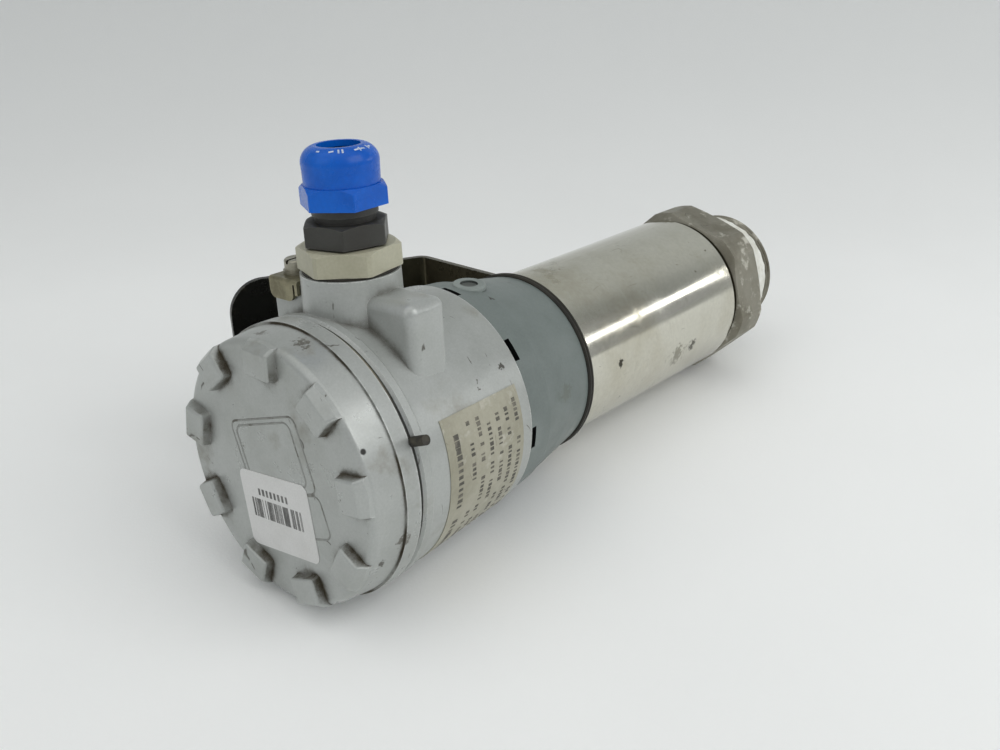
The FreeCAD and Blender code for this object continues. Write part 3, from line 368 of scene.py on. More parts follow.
finishes = {
    "cover_paint": {
        "colour": paint(174, 177, 174), "shade": paint(163, 166, 162), "toneScale": 32.0, "metal": 0.35,
        "rough": (0.26, 0.42), "grainScale": 3200.0, "grainHeight": 0.00002, "dirtAndShade": grimeAndShade,
        "dirtAndShadeReach": 0.009, "dirtAndShadeLow": 0.12, "dirtAndShadeHigh": 0.36, "dirtAndShadeAmount": 1.0,
        "stain": paint(134, 131, 120), "stainScale": 46.0, "stainLevel": 0.58, "stainAmount": 0.6,
        "edge": bareEdgeAndHighlight, "edgeReach": 0.001, "edgeAmount": 1.0, "edgeMetal": 0.6,
        "scratch": paint(92, 90, 84), "scratchWidth": 0.006, "scratchLevel": 0.58, "scratchDepth": 0.00004,
        "fleck": paint(84, 80, 70), "fleckScale": 330.0, "fleckLevel": 0.69, "fleckAmount": 0.9,
        "spots": [(onAxis(-0.2212, 155, 0.0408), 0.0011, 0.1, paint(34, 33, 30), 1.0),
                  (onAxis(-0.2165, 104, 0.0416), 0.0022, 1.5, paint(92, 88, 78), 0.8),
                  (onAxis(-0.2190, 84, 0.0405), 0.0018, 1.6, paint(90, 86, 76), 0.8),
                  (onAxis(-0.2130, 196, 0.0420), 0.0018, 1.6, paint(88, 84, 74), 0.8),
                  (onAxis(-0.2190, 205, 0.0405), 0.0014, 1.6, paint(70, 66, 58), 0.9)],
    },
    "seal_rubber": {
        "colour": paint(38, 36, 32), "shade": paint(54, 51, 44), "toneScale": 50.0, "rough": (0.55, 0.8),
        "grainScale": 1800.0, "grainHeight": 0.00005,
        "bands": [((0, 0, 1), 0.022, 0.034, paint(126, 118, 98))], "stain": paint(92, 87, 72),
        "stainLevel": 0.56, "stainAmount": 0.6,
    },
    "sticker_paper": {
        "colour": paint(216, 216, 214), "shade": paint(208, 208, 205), "rough": (0.5, 0.65),
        "grainScale": 5000.0, "grainHeight": 0.00001, "stain": paint(176, 174, 166), "stainLevel": 0.66,
        "stainAmount": 0.35,
    },
    "label_film": {
        "colour": paint(168, 165, 148), "shade": paint(152, 149, 131), "toneScale": 60.0,
        "rough": (0.3, 0.5), "metal": 0.1, "grainScale": 1500.0, "grainHeight": 0.00002,
        "stain": paint(208, 206, 194), "stainScale": 120.0, "stainLevel": 0.58, "stainAmount": 0.6,
        "scratch": paint(110, 105, 92), "scratchLevel": 0.55,
    },
    "black_rubber": {
        "colour": paint(30, 28, 23), "shade": paint(46, 43, 34), "rough": (0.42, 0.65),
        "grainScale": 2200.0, "stain": paint(78, 72, 56), "stainLevel": 0.58, "stainAmount": 0.5,
        "specular": 0.35,
    },
    "adapter_plastic": {
        "colour": paint(178, 176, 155), "shade": paint(164, 161, 139), "rough": (0.38, 0.52),
        "grainScale": 2600.0, "grainHeight": 0.00003, "dirtAndShade": grimeAndShade, "dirtAndShadeAmount": 0.6,
        "stain": paint(140, 134, 112), "stainAmount": 0.4, "edge": paint(204, 202, 184), "edgeAmount": 0.6,
        "specular": 0.45,
    },
    "dark_plastic": {
        "colour": paint(58, 58, 54), "shade": paint(50, 49, 45), "rough": (0.36, 0.5), "grainScale": 3000.0,
        "grainHeight": 0.00003, "dirtAndShade": paint(24, 24, 22), "dirtAndShadeAmount": 0.5, "edge": paint(98, 97, 92),
        "edgeAmount": 0.6, "specular": 0.4,
    },
    "blue_plastic": {
        "colour": paint(6, 98, 202), "shade": paint(4, 86, 186), "rough": (0.2, 0.32), "grainScale": 1600.0,
        "grainHeight": 0.00001, "specular": 0.28, "edge": paint(60, 124, 212), "edgeAmount": 0.3,
        "edgeReach": 0.0004, "scratch": paint(50, 104, 188), "scratchLevel": 0.62,
    },
    "clamp_steel": {
        "colour": paint(150, 145, 120), "shade": paint(116, 111, 90), "toneScale": 110.0,
        "rough": (0.3, 0.5), "metal": 0.85, "grainScale": 1800.0, "grainHeight": 0.00003, "dirtAndShade": grimeAndShade,
        "dirtAndShadeAmount": 0.8, "edge": paint(192, 188, 168), "edgeAmount": 0.7, "edgeMetal": 0.9,
        "edgeReach": 0.0003,
    },
    "screw_steel": {
        "colour": paint(160, 157, 143), "shade": paint(126, 122, 106), "toneScale": 140.0,
        "rough": (0.28, 0.46), "metal": 0.9, "grainHeight": 0.00002, "dirtAndShade": grimeAndShade, "dirtAndShadeReach": 0.002,
        "dirtAndShadeAmount": 0.9, "edge": paint(205, 202, 190), "edgeAmount": 0.6, "edgeMetal": 0.9,
        "edgeReach": 0.0003,
    },
    "collar_plastic": {
        "colour": paint(110, 119, 116), "shade": paint(100, 109, 106), "toneScale": 26.0,
        "rough": (0.34, 0.5), "grainScale": 2600.0, "grainHeight": 0.00002, "dirtAndShade": paint(64, 68, 64),
        "dirtAndShadeReach": 0.002, "dirtAndShadeAmount": 0.6, "stain": paint(98, 106, 100), "stainScale": 70.0,
        "stainAmount": 0.6, "edge": paint(160, 170, 166), "edgeAmount": 0.4,
        "shadowed": (notchEnd + 0.05 * mm, notchRadius, paint(12, 12, 12)),
        "spots": [(onAxis(-0.133, 176, 0.0335), 0.0035, 0.8, paint(92, 98, 90), 0.7)],
    },
    "vent_plastic": {
        "colour": paint(136, 144, 140), "shade": paint(120, 128, 124), "rough": (0.4, 0.55),
        "grainScale": 2600.0, "grainHeight": 0.00002, "dirtAndShade": paint(40, 42, 40), "dirtAndShadeReach": 0.0012,
        "dirtAndShadeAmount": 1.0, "edge": paint(176, 184, 180), "edgeAmount": 0.6,
        # the dark spot on the vent's top is painted shade in its recess
        "spots": [(ventTop, 0.0034, 0.12, paint(78, 82, 78), 1.0)],
    },
    "bracket_coat": {
        "colour": paint(88, 83, 66), "shade": paint(64, 60, 46), "toneScale": 26.0, "rough": (0.2, 0.36),
        "metal": 0.85, "grainScale": 2200.0, "grainHeight": 0.00002,
        # the band that darkens the panel towards -X is a painted dark reflection
        "bands": [((-1, 0, 0), 0.152, 0.170, paint(34, 34, 31))], "stain": paint(128, 122, 98),
        "stainScale": 40.0, "stainAmount": 0.4, "edge": paint(150, 150, 142), "edgeAmount": 0.9,
        "edgeMetal": 0.95, "edgeReach": 0.0007, "scratch": paint(150, 146, 128), "scratchLevel": 0.6,
        "shadowed": (1.0, 31.2 * mm, paint(24, 23, 19)),
    },
    "tube_steel": {
        "colour": paint(206, 204, 192), "shade": paint(190, 186, 170), "toneScale": 24.0,
        "rough": (0.09, 0.18), "metal": 1.0, "grainScale": 1400.0, "grainHeight": 0.000003,
        "stretch": (2600.0, 26.0, 26.0), "brushHeight": 0.000004, "brushTone": 0.06,
        "stain": paint(136, 130, 108), "stainScale": 55.0, "stainAmount": 0.45,
        "scratch": paint(110, 106, 92), "scratchStretch": (40.0, 160.0, 160.0), "scratchLevel": 0.6,
        "scratchWidth": 0.006, "fleck": paint(104, 98, 80), "fleckScale": 240.0, "fleckAmount": 0.7,
        "spots": [(onAxis(-0.0978, 179, tubeRadius), 0.0017, 0.9, paint(46, 42, 34), 0.95),
                  (onAxis(-0.0502, 194, tubeRadius), 0.0024, 1.2, paint(70, 66, 54), 0.9),
                  (onAxis(-0.0600, 196, tubeRadius), 0.0040, 1.5, paint(118, 113, 96), 0.7)],
    },
    "flange_steel": {
        "colour": paint(142, 139, 126), "shade": paint(122, 118, 104), "toneScale": 70.0,
        "rough": (0.42, 0.62), "metal": 0.6, "grainScale": 1300.0, "grainHeight": 0.00005, "dirtAndShade": grimeAndShade,
        "dirtAndShadeReach": 0.002, "dirtAndShadeAmount": 0.8, "stain": paint(112, 108, 94), "stainScale": 90.0,
        "stainLevel": 0.58, "stainAmount": 0.6, "edge": paint(196, 193, 180), "edgeAmount": 0.5,
        "edgeMetal": 0.9, "scratch": paint(84, 80, 66), "scratchDepth": 0.00004,
        "fleck": paint(212, 210, 198), "fleckScale": 170.0, "fleckLevel": 0.54, "fleckSoft": 0.16,
        "shadowed": (hexBack + 0.05 * mm, tubeRadius - 0.1 * mm, paint(58, 54, 40)),
    },
    "tape_film": {
        "colour": paint(232, 232, 225), "shade": paint(214, 213, 202), "toneScale": 160.0,
        "rough": (0.5, 0.7), "grainScale": 1100.0, "grainHeight": 0.00008, "stain": paint(168, 162, 142),
        "stainScale": 200.0, "stainLevel": 0.62, "stainAmount": 0.5, "dirtAndShade": grimeAndShade, "dirtAndShadeReach": 0.001,
        "dirtAndShadeAmount": 0.4,
    },
    "diaphragm_steel": {
        "colour": paint(196, 194, 186), "rough": (0.22, 0.34), "metal": 1.0, "grainScale": 1500.0,
        "grainHeight": 0.000004, "dirtAndShade": grimeAndShade, "dirtAndShadeReach": 0.002, "dirtAndShadeAmount": 0.6,
        "stain": paint(150, 144, 128), "stainAmount": 0.4,
    },
    "ceramic_cell": {"colour": paint(226, 222, 208), "rough": (0.3, 0.45)},
    "board_laminate": {"colour": paint(30, 92, 54), "rough": (0.35, 0.5), "coat": 0.3},
    "lead_sheath": {"colour": paint(40, 40, 42), "rough": (0.5, 0.7)},
    "potting": {
        "colour": paint(38, 38, 42), "rough": (0.35, 0.5), "dirtAndShade": paint(14, 14, 14), "dirtAndShadeAmount": 0.5,
    },
    "terminal_plastic": {"colour": paint(70, 110, 84), "rough": (0.4, 0.55)},
    # the cover paint made darker: painted shade along the border lines, with grime blotches
    "border_shaded_paint": {
        "colour": paint(146, 148, 144), "shade": paint(128, 129, 124), "toneScale": 70.0, "metal": 0.3,
        "rough": (0.3, 0.45), "grainScale": 3200.0, "grainHeight": 0.00002, "stain": paint(90, 86, 76),
        "stainScale": 150.0, "stainLevel": 0.54, "stainAmount": 0.8,
    },
    "sticker_ink": {
        "colour": paint(92, 92, 90), "shade": paint(118, 118, 116), "toneScale": 400.0,
        "rough": (0.5, 0.65), "grainScale": 4000.0, "grainHeight": 0.00001,
    },
    "label_ink": {
        "colour": paint(78, 75, 68), "shade": paint(120, 116, 104), "toneScale": 260.0,
        "grainScale": 4000.0, "grainHeight": 0.00001,
    },
    "cap_print": {
        "colour": paint(205, 215, 230), "shade": paint(150, 175, 215), "toneScale": 600.0,
        "rough": (0.35, 0.5),
    },
}
finishes["housing_paint"] = {
    **finishes["cover_paint"], "dirtAndShadeReach": 0.006, "dirtAndShadeLow": 0.16, "dirtAndShadeHigh": 0.6, "dirtAndShadeAmount": 0.75,
    "stain": paint(140, 136, 122), "stainAmount": 0.45,
    "spots": [(onAxis(-0.1620, 148, 0.0395), 0.0016, 1.6, paint(60, 56, 48), 0.9),
              (onAxis(-0.1740, 151, 0.0405), 0.0014, 1.6, paint(70, 66, 56), 0.9)],
}
ownFinish = {"housing": "housing_paint"}
materials = {name: makeFinish(name, look) for name, look in finishes.items()}

for entry in frame["record"]["subparts"]:
    mesh = nodes[entry["node"]].data
    mesh.materials.clear()
    mesh.materials.append(materials[ownFinish.get(entry["node"], entry["material_slot"])])
print("materials made")


# mesh helpers
def addObject(name, data):
    added = bpy.data.objects.new(name, data)
    bpy.context.scene.collection.objects.link(added)
    return added


def meshOf(name, points, faces):
    mesh = bpy.data.meshes.new(name)
    mesh.from_pydata([tuple(p) for p in points], [], faces)
    return mesh


def addPiece(name, points, faces, body, finish):
    mesh = meshOf(name, points, faces)
    mesh.validate()
    return dressPiece(name, mesh, body, finish)


def dressPiece(name, mesh, body, finish, smooth=True):
    shape = bmesh.new()
    shape.from_mesh(mesh)
    bmesh.ops.remove_doubles(shape, verts=shape.verts, dist=1e-7)
    bmesh.ops.recalc_face_normals(shape, faces=shape.faces)
    for face in shape.faces:
        face.smooth = smooth
    shape.to_mesh(mesh)
    shape.free()
    mesh.name = name
    mesh.materials.clear()
    mesh.materials.append(materials[finish])
    piece = addObject(name, mesh)
    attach(piece, body)
    return piece


def turnedGrid(rows, steps):
    # rows of (x, radius rule) spun round the main axis, the last row joined to the first
    angles = [360 * step / steps for step in range(steps)]
    points = [onAxis(x, angle, radiusAt(angle)) for x, radiusAt in rows for angle in angles]
    faces = []
    for row in range(len(rows)):
        below, above = row * steps, (row + 1) % len(rows) * steps
        for step in range(steps):
            after = (step + 1) % steps
            faces.append((below + step, below + after, above + after, above + step))
    return points, faces


def splitSharp(piece, angle=35):
    # keeps crisp corners between smooth faces
    shape = bmesh.new()
    shape.from_mesh(piece.data)
    for edge in shape.edges:
        edge.smooth = len(edge.link_faces) == 2 and edge.calc_face_angle() < math.radians(angle)
    shape.to_mesh(piece.data)
    shape.free()


# process connection: worn hexagon, groove, thread core and bore
process = {
    "acrossFlats": 60.0 * mm, "turnedRadius": 32.5 * mm, "cornerAngle": 19.0, "chamferLength": 1.6 * mm,
    "chamferDrop": 3.2 * mm, "chamferSteps": 8, "grooveRadius": 28.6 * mm, "spigotRadius": 27.7 * mm,
    "bore": 18.0 * mm, "recess": 20.42 * mm, "recessDepth": 1.62 * mm, "crest": 23.9 * mm,
    "pitch": 2.309 * mm, "threadStart": 0.9 * mm, "threadDepth": 1.48 * mm, "threadSteps": 120,
    "tipChamfer": 1.4 * mm, "steps": 360,
}


def hexRadius(angle):
    fromFlat = (angle - process["cornerAngle"]) % 60 - 30
    return process["acrossFlats"] / 2 / math.cos(math.radians(fromFlat))


def hexRow(x, turned):
    return x, lambda angle: min(hexRadius(angle), turned)


def roundRow(x, radius):
    return x, lambda angle: radius


def makeProcessConnection():
    low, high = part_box("process_connection")
    tubeEnd = tubeBox[1].x
    turned, drop, length = process["turnedRadius"], process["chamferDrop"], process["chamferLength"]
    root = process["crest"] - process["threadDepth"]
    fine = process["chamferSteps"]
    rows = [roundRow(low.x, process["bore"]), roundRow(low.x, process["spigotRadius"]),
            roundRow(tubeEnd, process["spigotRadius"]), roundRow(tubeEnd, process["grooveRadius"]),
            roundRow(hexBack, process["grooveRadius"])]
    rows += [hexRow(hexBack + length * k / fine, turned - drop * (1 - k / fine)) for k in range(fine + 1)]
    rows += [hexRow(-length * (1 - k / fine), turned - drop * k / fine) for k in range(fine + 1)]
    tip = process["tipChamfer"]
    floorOfRecess = high.x - process["recessDepth"]
    rows += [roundRow(0, root), roundRow(high.x - tip * 0.6, root), roundRow(high.x, root - tip * 0.4),
             roundRow(high.x, process["recess"]), roundRow(floorOfRecess, process["recess"]),
             roundRow(floorOfRecess, process["bore"])]
    points, faces = turnedGrid(rows, process["steps"])
    piece = addPiece("process_hexagon", points, faces, "transmitter", "flange_steel")
    splitSharp(piece)
    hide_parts("process_connection")


# the collar again, with its notches cut back
collarCut = {"cadNotch": 1.9 * mm, "near": 0.02 * mm, "sharp": 30}


def makeCollar():
    source = nodes["collar"].data
    notchFloor = collarBox[0].x + collarCut["cadNotch"]
    points = [vertex.co.copy() for vertex in source.vertices]
    for point in points:
        if abs(point.x - notchFloor) < collarCut["near"]:
            point.x = notchEnd
    faces = [tuple(polygon.vertices) for polygon in source.polygons]
    piece = addPiece("collar_shell", points, faces, "transmitter", "collar_plastic")
    splitSharp(piece, collarCut["sharp"])
    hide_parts("collar")


makeCollar()


# the ring that closes the neck, round the bracket's collar end
neckRing = {"thickness": 2.7 * mm, "radius": 32.2 * mm, "bore": 30.4 * mm, "edge": 0.5 * mm,
            "groove": 0.3 * mm, "steps": 180}


def makeNeckRing():
    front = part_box("neck_seal")[0].x
    back = front + neckRing["thickness"]
    middle = (front + back) / 2
    bore, radius, edge, groove = neckRing["bore"], neckRing["radius"], neckRing["edge"], neckRing["groove"]
    rows = [roundRow(front, bore), roundRow(front, radius - edge), roundRow(front + edge, radius),
            roundRow(middle - groove, radius), roundRow(middle, radius - groove),
            roundRow(middle + groove, radius), roundRow(back - edge, radius), roundRow(back, radius - edge),
            roundRow(back, bore)]
    points, faces = turnedGrid(rows, neckRing["steps"])
    piece = addPiece("neck_ring", points, faces, "transmitter", "black_rubber")
    splitSharp(piece)
    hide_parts("neck_seal")


makeNeckRing()


# geometry nodes: one helper to run a tree, and the trees
def form(tree, kind, feeds=None, **settings):
    return put(tree, "GeometryNode" + kind, feeds, **settings).outputs[0]


def chance(tree, given):
    # which of a row's marks are printed
    feeds = {"Probability": given["Kept"], "Seed": given["Seed"]}
    return put(tree, "FunctionNodeRandomValue", feeds, data_type="BOOLEAN").outputs[3]


def startTree(name, sizes, counts):
    tree = bpy.data.node_groups.new(name, "GeometryNodeTree")
    for labels, kind in ((sizes, "Float"), (counts, "Int"), ("Material", "Material")):
        for label in labels.split():
            tree.interface.new_socket(name=label, in_out="INPUT", socket_type="NodeSocket" + kind)
    tree.interface.new_socket(name="Geometry", in_out="OUTPUT", socket_type="NodeSocketGeometry")
    return tree, tree.nodes.new("NodeGroupInput").outputs


def endTree(tree, geometry, given):
    real = form(tree, "RealizeInstances", {"Geometry": geometry})
    dressed = form(tree, "SetMaterial", {"Geometry": real, "Material": given["Material"]})
    tree.links.new(dressed, tree.nodes.new("NodeGroupOutput").inputs[0])
    return tree


def runTree(name, tree, inputs, body, finish, smooth=True):
    holder = addObject(name + "Maker", bpy.data.meshes.new(name + "Maker"))
    modifier = holder.modifiers.new("maker", "NODES")
    modifier.node_group = tree
    ids = {item.name: item.identifier for item in tree.interface.items_tree if item.in_out == "INPUT"}
    for label, value in {**inputs, "Material": materials[finish]}.items():
        modifier[ids[label]] = value
    view = bpy.context.evaluated_depsgraph_get()
    mesh = bpy.data.meshes.new_from_object(holder.evaluated_get(view))
    holder.modifiers.remove(modifier)
    bpy.data.objects.remove(holder)
    print(name, len(mesh.polygons), "faces")
    return dressPiece(name, mesh, body, finish, smooth)


def makeThreadTree():
    # a ridge wound round the main axis, cut back to a crest and a tip chamfer
    tree, given = startTree("threadRidge", "Start Length Pitch Root Depth Chamfer", "Around")
    spiral = form(tree, "CurveSpiral", {
        "Resolution": given["Around"], "Rotations": calc(tree, "DIVIDE", given["Length"], given["Pitch"]),
        "Start Radius": given["Root"], "End Radius": given["Root"], "Height": given["Length"],
        "Reverse": False})
    upright = form(tree, "SetCurveNormal", {"Curve": spiral}, mode="Z_UP")
    diamond = form(tree, "CurvePrimitiveCircle", {"Resolution": 4, "Radius": 1.0})
    size = joined(tree, given["Depth"], times(tree, given["Pitch"], 0.49), 1.0)
    profile = form(tree, "Transform", {"Geometry": diamond, "Scale": size})
    ridge = form(tree, "CurveToMesh", {"Curve": upright, "Profile Curve": profile, "Fill Caps": True})
    laid = form(tree, "Transform", {"Geometry": ridge, "Rotation": (0, math.pi / 2, 0)})
    start = joined(tree, given["Start"], 0.0, 0.0)
    moved = form(tree, "Transform", {"Geometry": laid, "Translation": start})
    x, y, z = split(tree, form(tree, "InputPosition"))
    crest = plus(tree, given["Root"], times(tree, given["Depth"], 0.93))
    end = plus(tree, given["Start"], given["Length"])
    fall = calc(tree, "MAXIMUM", 0.0, minus(tree, given["Chamfer"], minus(tree, end, x)))
    limit = calc(tree, "DIVIDE", minus(tree, crest, fall), length(tree, y, z))
    share = calc(tree, "MINIMUM", 1.0, limit)
    trimmed = joined(tree, calc(tree, "MINIMUM", x, end), times(tree, y, share), times(tree, z, share))
    return endTree(tree, form(tree, "SetPosition", {"Geometry": moved, "Position": trimmed}), given)


makeProcessConnection()
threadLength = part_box("process_connection")[1].x - process["threadStart"]
runTree("process_thread", makeThreadTree(), {
    "Start": process["threadStart"], "Length": threadLength, "Pitch": process["pitch"],
    "Root": process["crest"] - process["threadDepth"], "Depth": process["threadDepth"],
    "Chamfer": process["tipChamfer"], "Around": process["threadSteps"],
}, "transmitter", "flange_steel", smooth=False)


# sealing tape wound over the first turns of the thread
tape = {"start": 0.35 * mm, "end": 15.4 * mm, "lift": 0.26 * mm, "thickness": 0.14 * mm, "ragged": 1.5 * mm,
        "crease": 0.12 * mm, "fill": 0.85, "across": 40, "steps": 300, "seed": 4.0}


def threadRadius(x, angle):
    # the ridge profile of a right-hand thread
    turn = (x / process["pitch"] - angle / 360) % 1.0
    rise = 1 - abs(2 * turn - 1)
    return process["crest"] - process["threadDepth"] * (1 - rise) * (1 - tape["fill"])


def makeTape():
    points = []
    faces = []
    steps, across = tape["steps"], tape["across"]
    for layer in (0, 1):
        for row in range(across + 1):
            for step in range(steps):
                angle = 360 * step / steps
                way = Vector((*heading(angle), tape["seed"]))
                torn = tape["ragged"] * (noise.noise(way * 2.2) + 0.5 * noise.noise(way * 9.0))
                x = tape["start"] + (tape["end"] + torn - tape["start"]) * row / across
                crease = tape["crease"] * noise.noise(Vector((x * 900, way.x * 9, way.y * 9)))
                radius = threadRadius(x, angle) + tape["lift"] + crease - layer * tape["thickness"]
                points.append(onAxis(x, angle, radius))
    size = (across + 1) * steps
    for step in range(steps):
        after = (step + 1) % steps
        for row in range(across):
            a, b = row * steps, (row + 1) * steps
            faces.append((a + step, a + after, b + after, b + step))
            faces.append((size + a + step, size + b + step, size + b + after, size + a + after))
        last = across * steps
        faces.append((step, size + step, size + after, after))
        faces.append((last + step, last + after, size + last + after, size + last + step))
    piece = addPiece("sealing_tape", points, faces, "transmitter", "tape_film")
    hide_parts("thread_tape")


makeTape()


# raised border lines on the cover face: width, height, and the middle's y and z
faceFrame = {"wire": 0.45 * mm, "sunk": 0.29 * mm, "corner": 2.6 * mm, "turn": 17.0, "borders": {
    "face_border_outer": (31.6 * mm, 22.7 * mm, 0.15 * mm, 5.95 * mm),
    "face_border_inner": (26.6 * mm, 19.2 * mm, 0.9 * mm, 5.9 * mm),
    "face_border_lower": (32.0 * mm, 13.0 * mm, -5.4 * mm, -11.5 * mm),
}}


def makeFrameTree():
    tree, given = startTree("borderLine", "Width Height Corner Wire Turn X Y Z", "")
    sides = {"Width": given["Width"], "Height": given["Height"]}
    outline = form(tree, "CurvePrimitiveQuadrilateral", sides)
    corner = {"Curve": outline, "Count": 8, "Radius": given["Corner"]}
    rounded = form(tree, "FilletCurve", corner, mode="POLY")
    wire = form(tree, "CurvePrimitiveCircle", {"Resolution": 16, "Radius": given["Wire"]})
    line = form(tree, "CurveToMesh", {"Curve": rounded, "Profile Curve": wire})
    stood = form(tree, "Transform", {"Geometry": line, "Rotation": (0, math.pi / 2, 0)})
    turned = form(tree, "Transform", {"Geometry": stood, "Rotation": joined(tree, given["Turn"], 0.0, 0.0)})
    at = joined(tree, given["X"], given["Y"], given["Z"])
    return endTree(tree, form(tree, "Transform", {"Geometry": turned, "Translation": at}), given)


frameTree = makeFrameTree()
# each border line is drawn in the darker paint, a painted shade
for name, (width, height, y, z) in faceFrame["borders"].items():
    runTree(name, frameTree, {
        "Width": height, "Height": width, "Corner": faceFrame["corner"], "Wire": faceFrame["wire"],
        "Turn": math.radians(-faceFrame["turn"]), "X": coverFace + faceFrame["sunk"], "Y": y, "Z": z,
    }, "cover", "border_shaded_paint")


# plain printed bars on the sticker
stickerPrint = {
    "sticker_bars": {"from": (12.7, -13.6), "to": (-10.2, -11.6), "count": 52, "long": 6.1,
                     "wide": (0.14, 0.46), "kept": 0.84, "seed": 3},
    "sticker_dashes": {"from": (8.6, -7.8), "to": (-4.0, -6.7), "count": 8, "long": 2.1,
                       "wide": (0.7, 1.1), "kept": 1.0, "seed": 5},
    "thickness": 0.03 * mm,
}


def makeBarTree():
    # upright bars of uneven width in a row
    tree, given = startTree("printedBars", "X StartY StartZ StepY StepZ Long Narrow Wide Thick Turn Kept",
                            "Count Seed")
    start = joined(tree, given["X"], given["StartY"], given["StartZ"])
    step = joined(tree, 0.0, given["StepY"], given["StepZ"])
    line = form(tree, "MeshLine", {"Count": given["Count"], "Start Location": start, "Offset": step})
    bar = form(tree, "MeshCube", {"Size": (1.0, 1.0, 1.0)})
    limits = {2: given["Narrow"], 3: given["Wide"], "Seed": given["Seed"]}
    width = put(tree, "FunctionNodeRandomValue", limits, data_type="FLOAT").outputs[1]
    placed = form(tree, "InstanceOnPoints", {
        "Points": line, "Selection": chance(tree, given), "Instance": bar,
        "Rotation": joined(tree, given["Turn"], 0.0, 0.0),
        "Scale": joined(tree, given["Thick"], width, given["Long"])})
    return endTree(tree, placed, given)


barTree = makeBarTree()
for name in ("sticker_bars", "sticker_dashes"):
    row = stickerPrint[name]
    (y0, z0), (y1, z1) = row["from"], row["to"]
    gaps = row["count"] - 1
    runTree(name, barTree, {
        "X": stickerBox[0].x - stickerPrint["thickness"] / 2, "StartY": y0 * mm, "StartZ": z0 * mm,
        "StepY": (y1 - y0) * mm / gaps, "StepZ": (z1 - z0) * mm / gaps, "Count": row["count"],
        "Long": row["long"] * mm, "Narrow": row["wide"][0] * mm, "Wide": row["wide"][1] * mm,
        "Thick": stickerPrint["thickness"], "Turn": math.atan2(z1 - z0, y1 - y0) - math.pi,
        "Kept": row["kept"], "Seed": row["seed"],
    }, "cover", "sticker_ink", smooth=False)


# rows of plain marks on the type label
labelPrint = {
    "label_title_marks": {"rows": (0.12, 0.12), "count": 1, "columns": 22, "angles": (166.0, 226.0),
                          "long": 2.0, "high": 3.0, "kept": 0.86, "seed": 11},
    "label_row_marks": {"rows": (0.3, 0.92), "count": 6, "columns": 30, "angles": (163.0, 228.0),
                        "long": 1.35, "high": 1.9, "kept": 0.66, "seed": 23},
    "lift": 0.03 * mm, "thickness": 0.03 * mm,
}


def makeRowTree():
    # marks laid on a cone, in rows along the axis
    tree, given = startTree("printedRows", "X0 X1 R0 R1 A0 A1 Long High Thick Kept", "Rows Columns Seed")
    grid = form(tree, "MeshGrid", {
        "Size X": 1.0, "Size Y": 1.0, "Vertices X": given["Rows"], "Vertices Y": given["Columns"]})
    gridX, gridY, _ = split(tree, form(tree, "InputPosition"))

    def between(share, first, last):
        return plus(tree, given[first], times(tree, share, minus(tree, given[last], given[first])))

    across = plus(tree, gridX, 0.5)
    radius = between(across, "R0", "R1")
    angle = between(plus(tree, gridY, 0.5), "A0", "A1")
    at = joined(tree, between(across, "X0", "X1"), times(tree, radius, calc(tree, "COSINE", angle)),
                times(tree, radius, calc(tree, "SINE", angle)))
    noted = {"Geometry": grid, "Name": "turn", "Value": angle}
    store = form(tree, "StoreNamedAttribute", noted, data_type="FLOAT", domain="POINT")
    laid = form(tree, "SetPosition", {"Geometry": store, "Position": at})
    kept = form(tree, "InputNamedAttribute", {"Name": "turn"}, data_type="FLOAT")
    limits = {0: (0.75, 0.35, 1.0), 1: (1.0, 1.0, 1.0), "Seed": given["Seed"]}
    shares = put(tree, "FunctionNodeRandomValue", limits, data_type="FLOAT_VECTOR").outputs[0]
    full = joined(tree, given["High"], given["Long"], given["Thick"])
    placed = form(tree, "InstanceOnPoints", {
        "Points": laid, "Selection": chance(tree, given),
        "Instance": form(tree, "MeshCube", {"Size": (1.0, 1.0, 1.0)}),
        "Rotation": joined(tree, minus(tree, kept, math.pi / 2), 0.0, 0.0),
        "Scale": stretched(tree, shares, full)})
    return endTree(tree, placed, given)


labelLow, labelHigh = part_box("type_label")
labelLong = labelHigh.x - labelLow.x


def labelRadius(x):
    # the label's outer radius at a station, from its two ends
    radii = [(v.co.x, math.hypot(v.co.y, v.co.z)) for v in nodes["type_label"].data.vertices]
    front = max(r for place, r in radii if place < labelLow.x + 1e-5)
    back = max(r for place, r in radii if place > labelHigh.x - 1e-5)
    return front + (back - front) * (x - labelLow.x) / labelLong


rowTree = makeRowTree()
for name in ("label_title_marks", "label_row_marks"):
    rows = labelPrint[name]
    x0, x1 = (labelLow.x + labelLong * share for share in rows["rows"])
    a0, a1 = (math.radians(angle) for angle in rows["angles"])
    runTree(name, rowTree, {
        "X0": x0, "X1": x1, "R0": labelRadius(x0) + labelPrint["lift"],
        "R1": labelRadius(x1) + labelPrint["lift"], "A0": a0, "A1": a1, "Rows": rows["count"],
        "Columns": rows["columns"], "Long": rows["long"] * mm, "High": rows["high"] * mm,
        "Thick": labelPrint["thickness"], "Kept": rows["kept"], "Seed": rows["seed"],
    }, "transmitter", "label_ink", smooth=False)


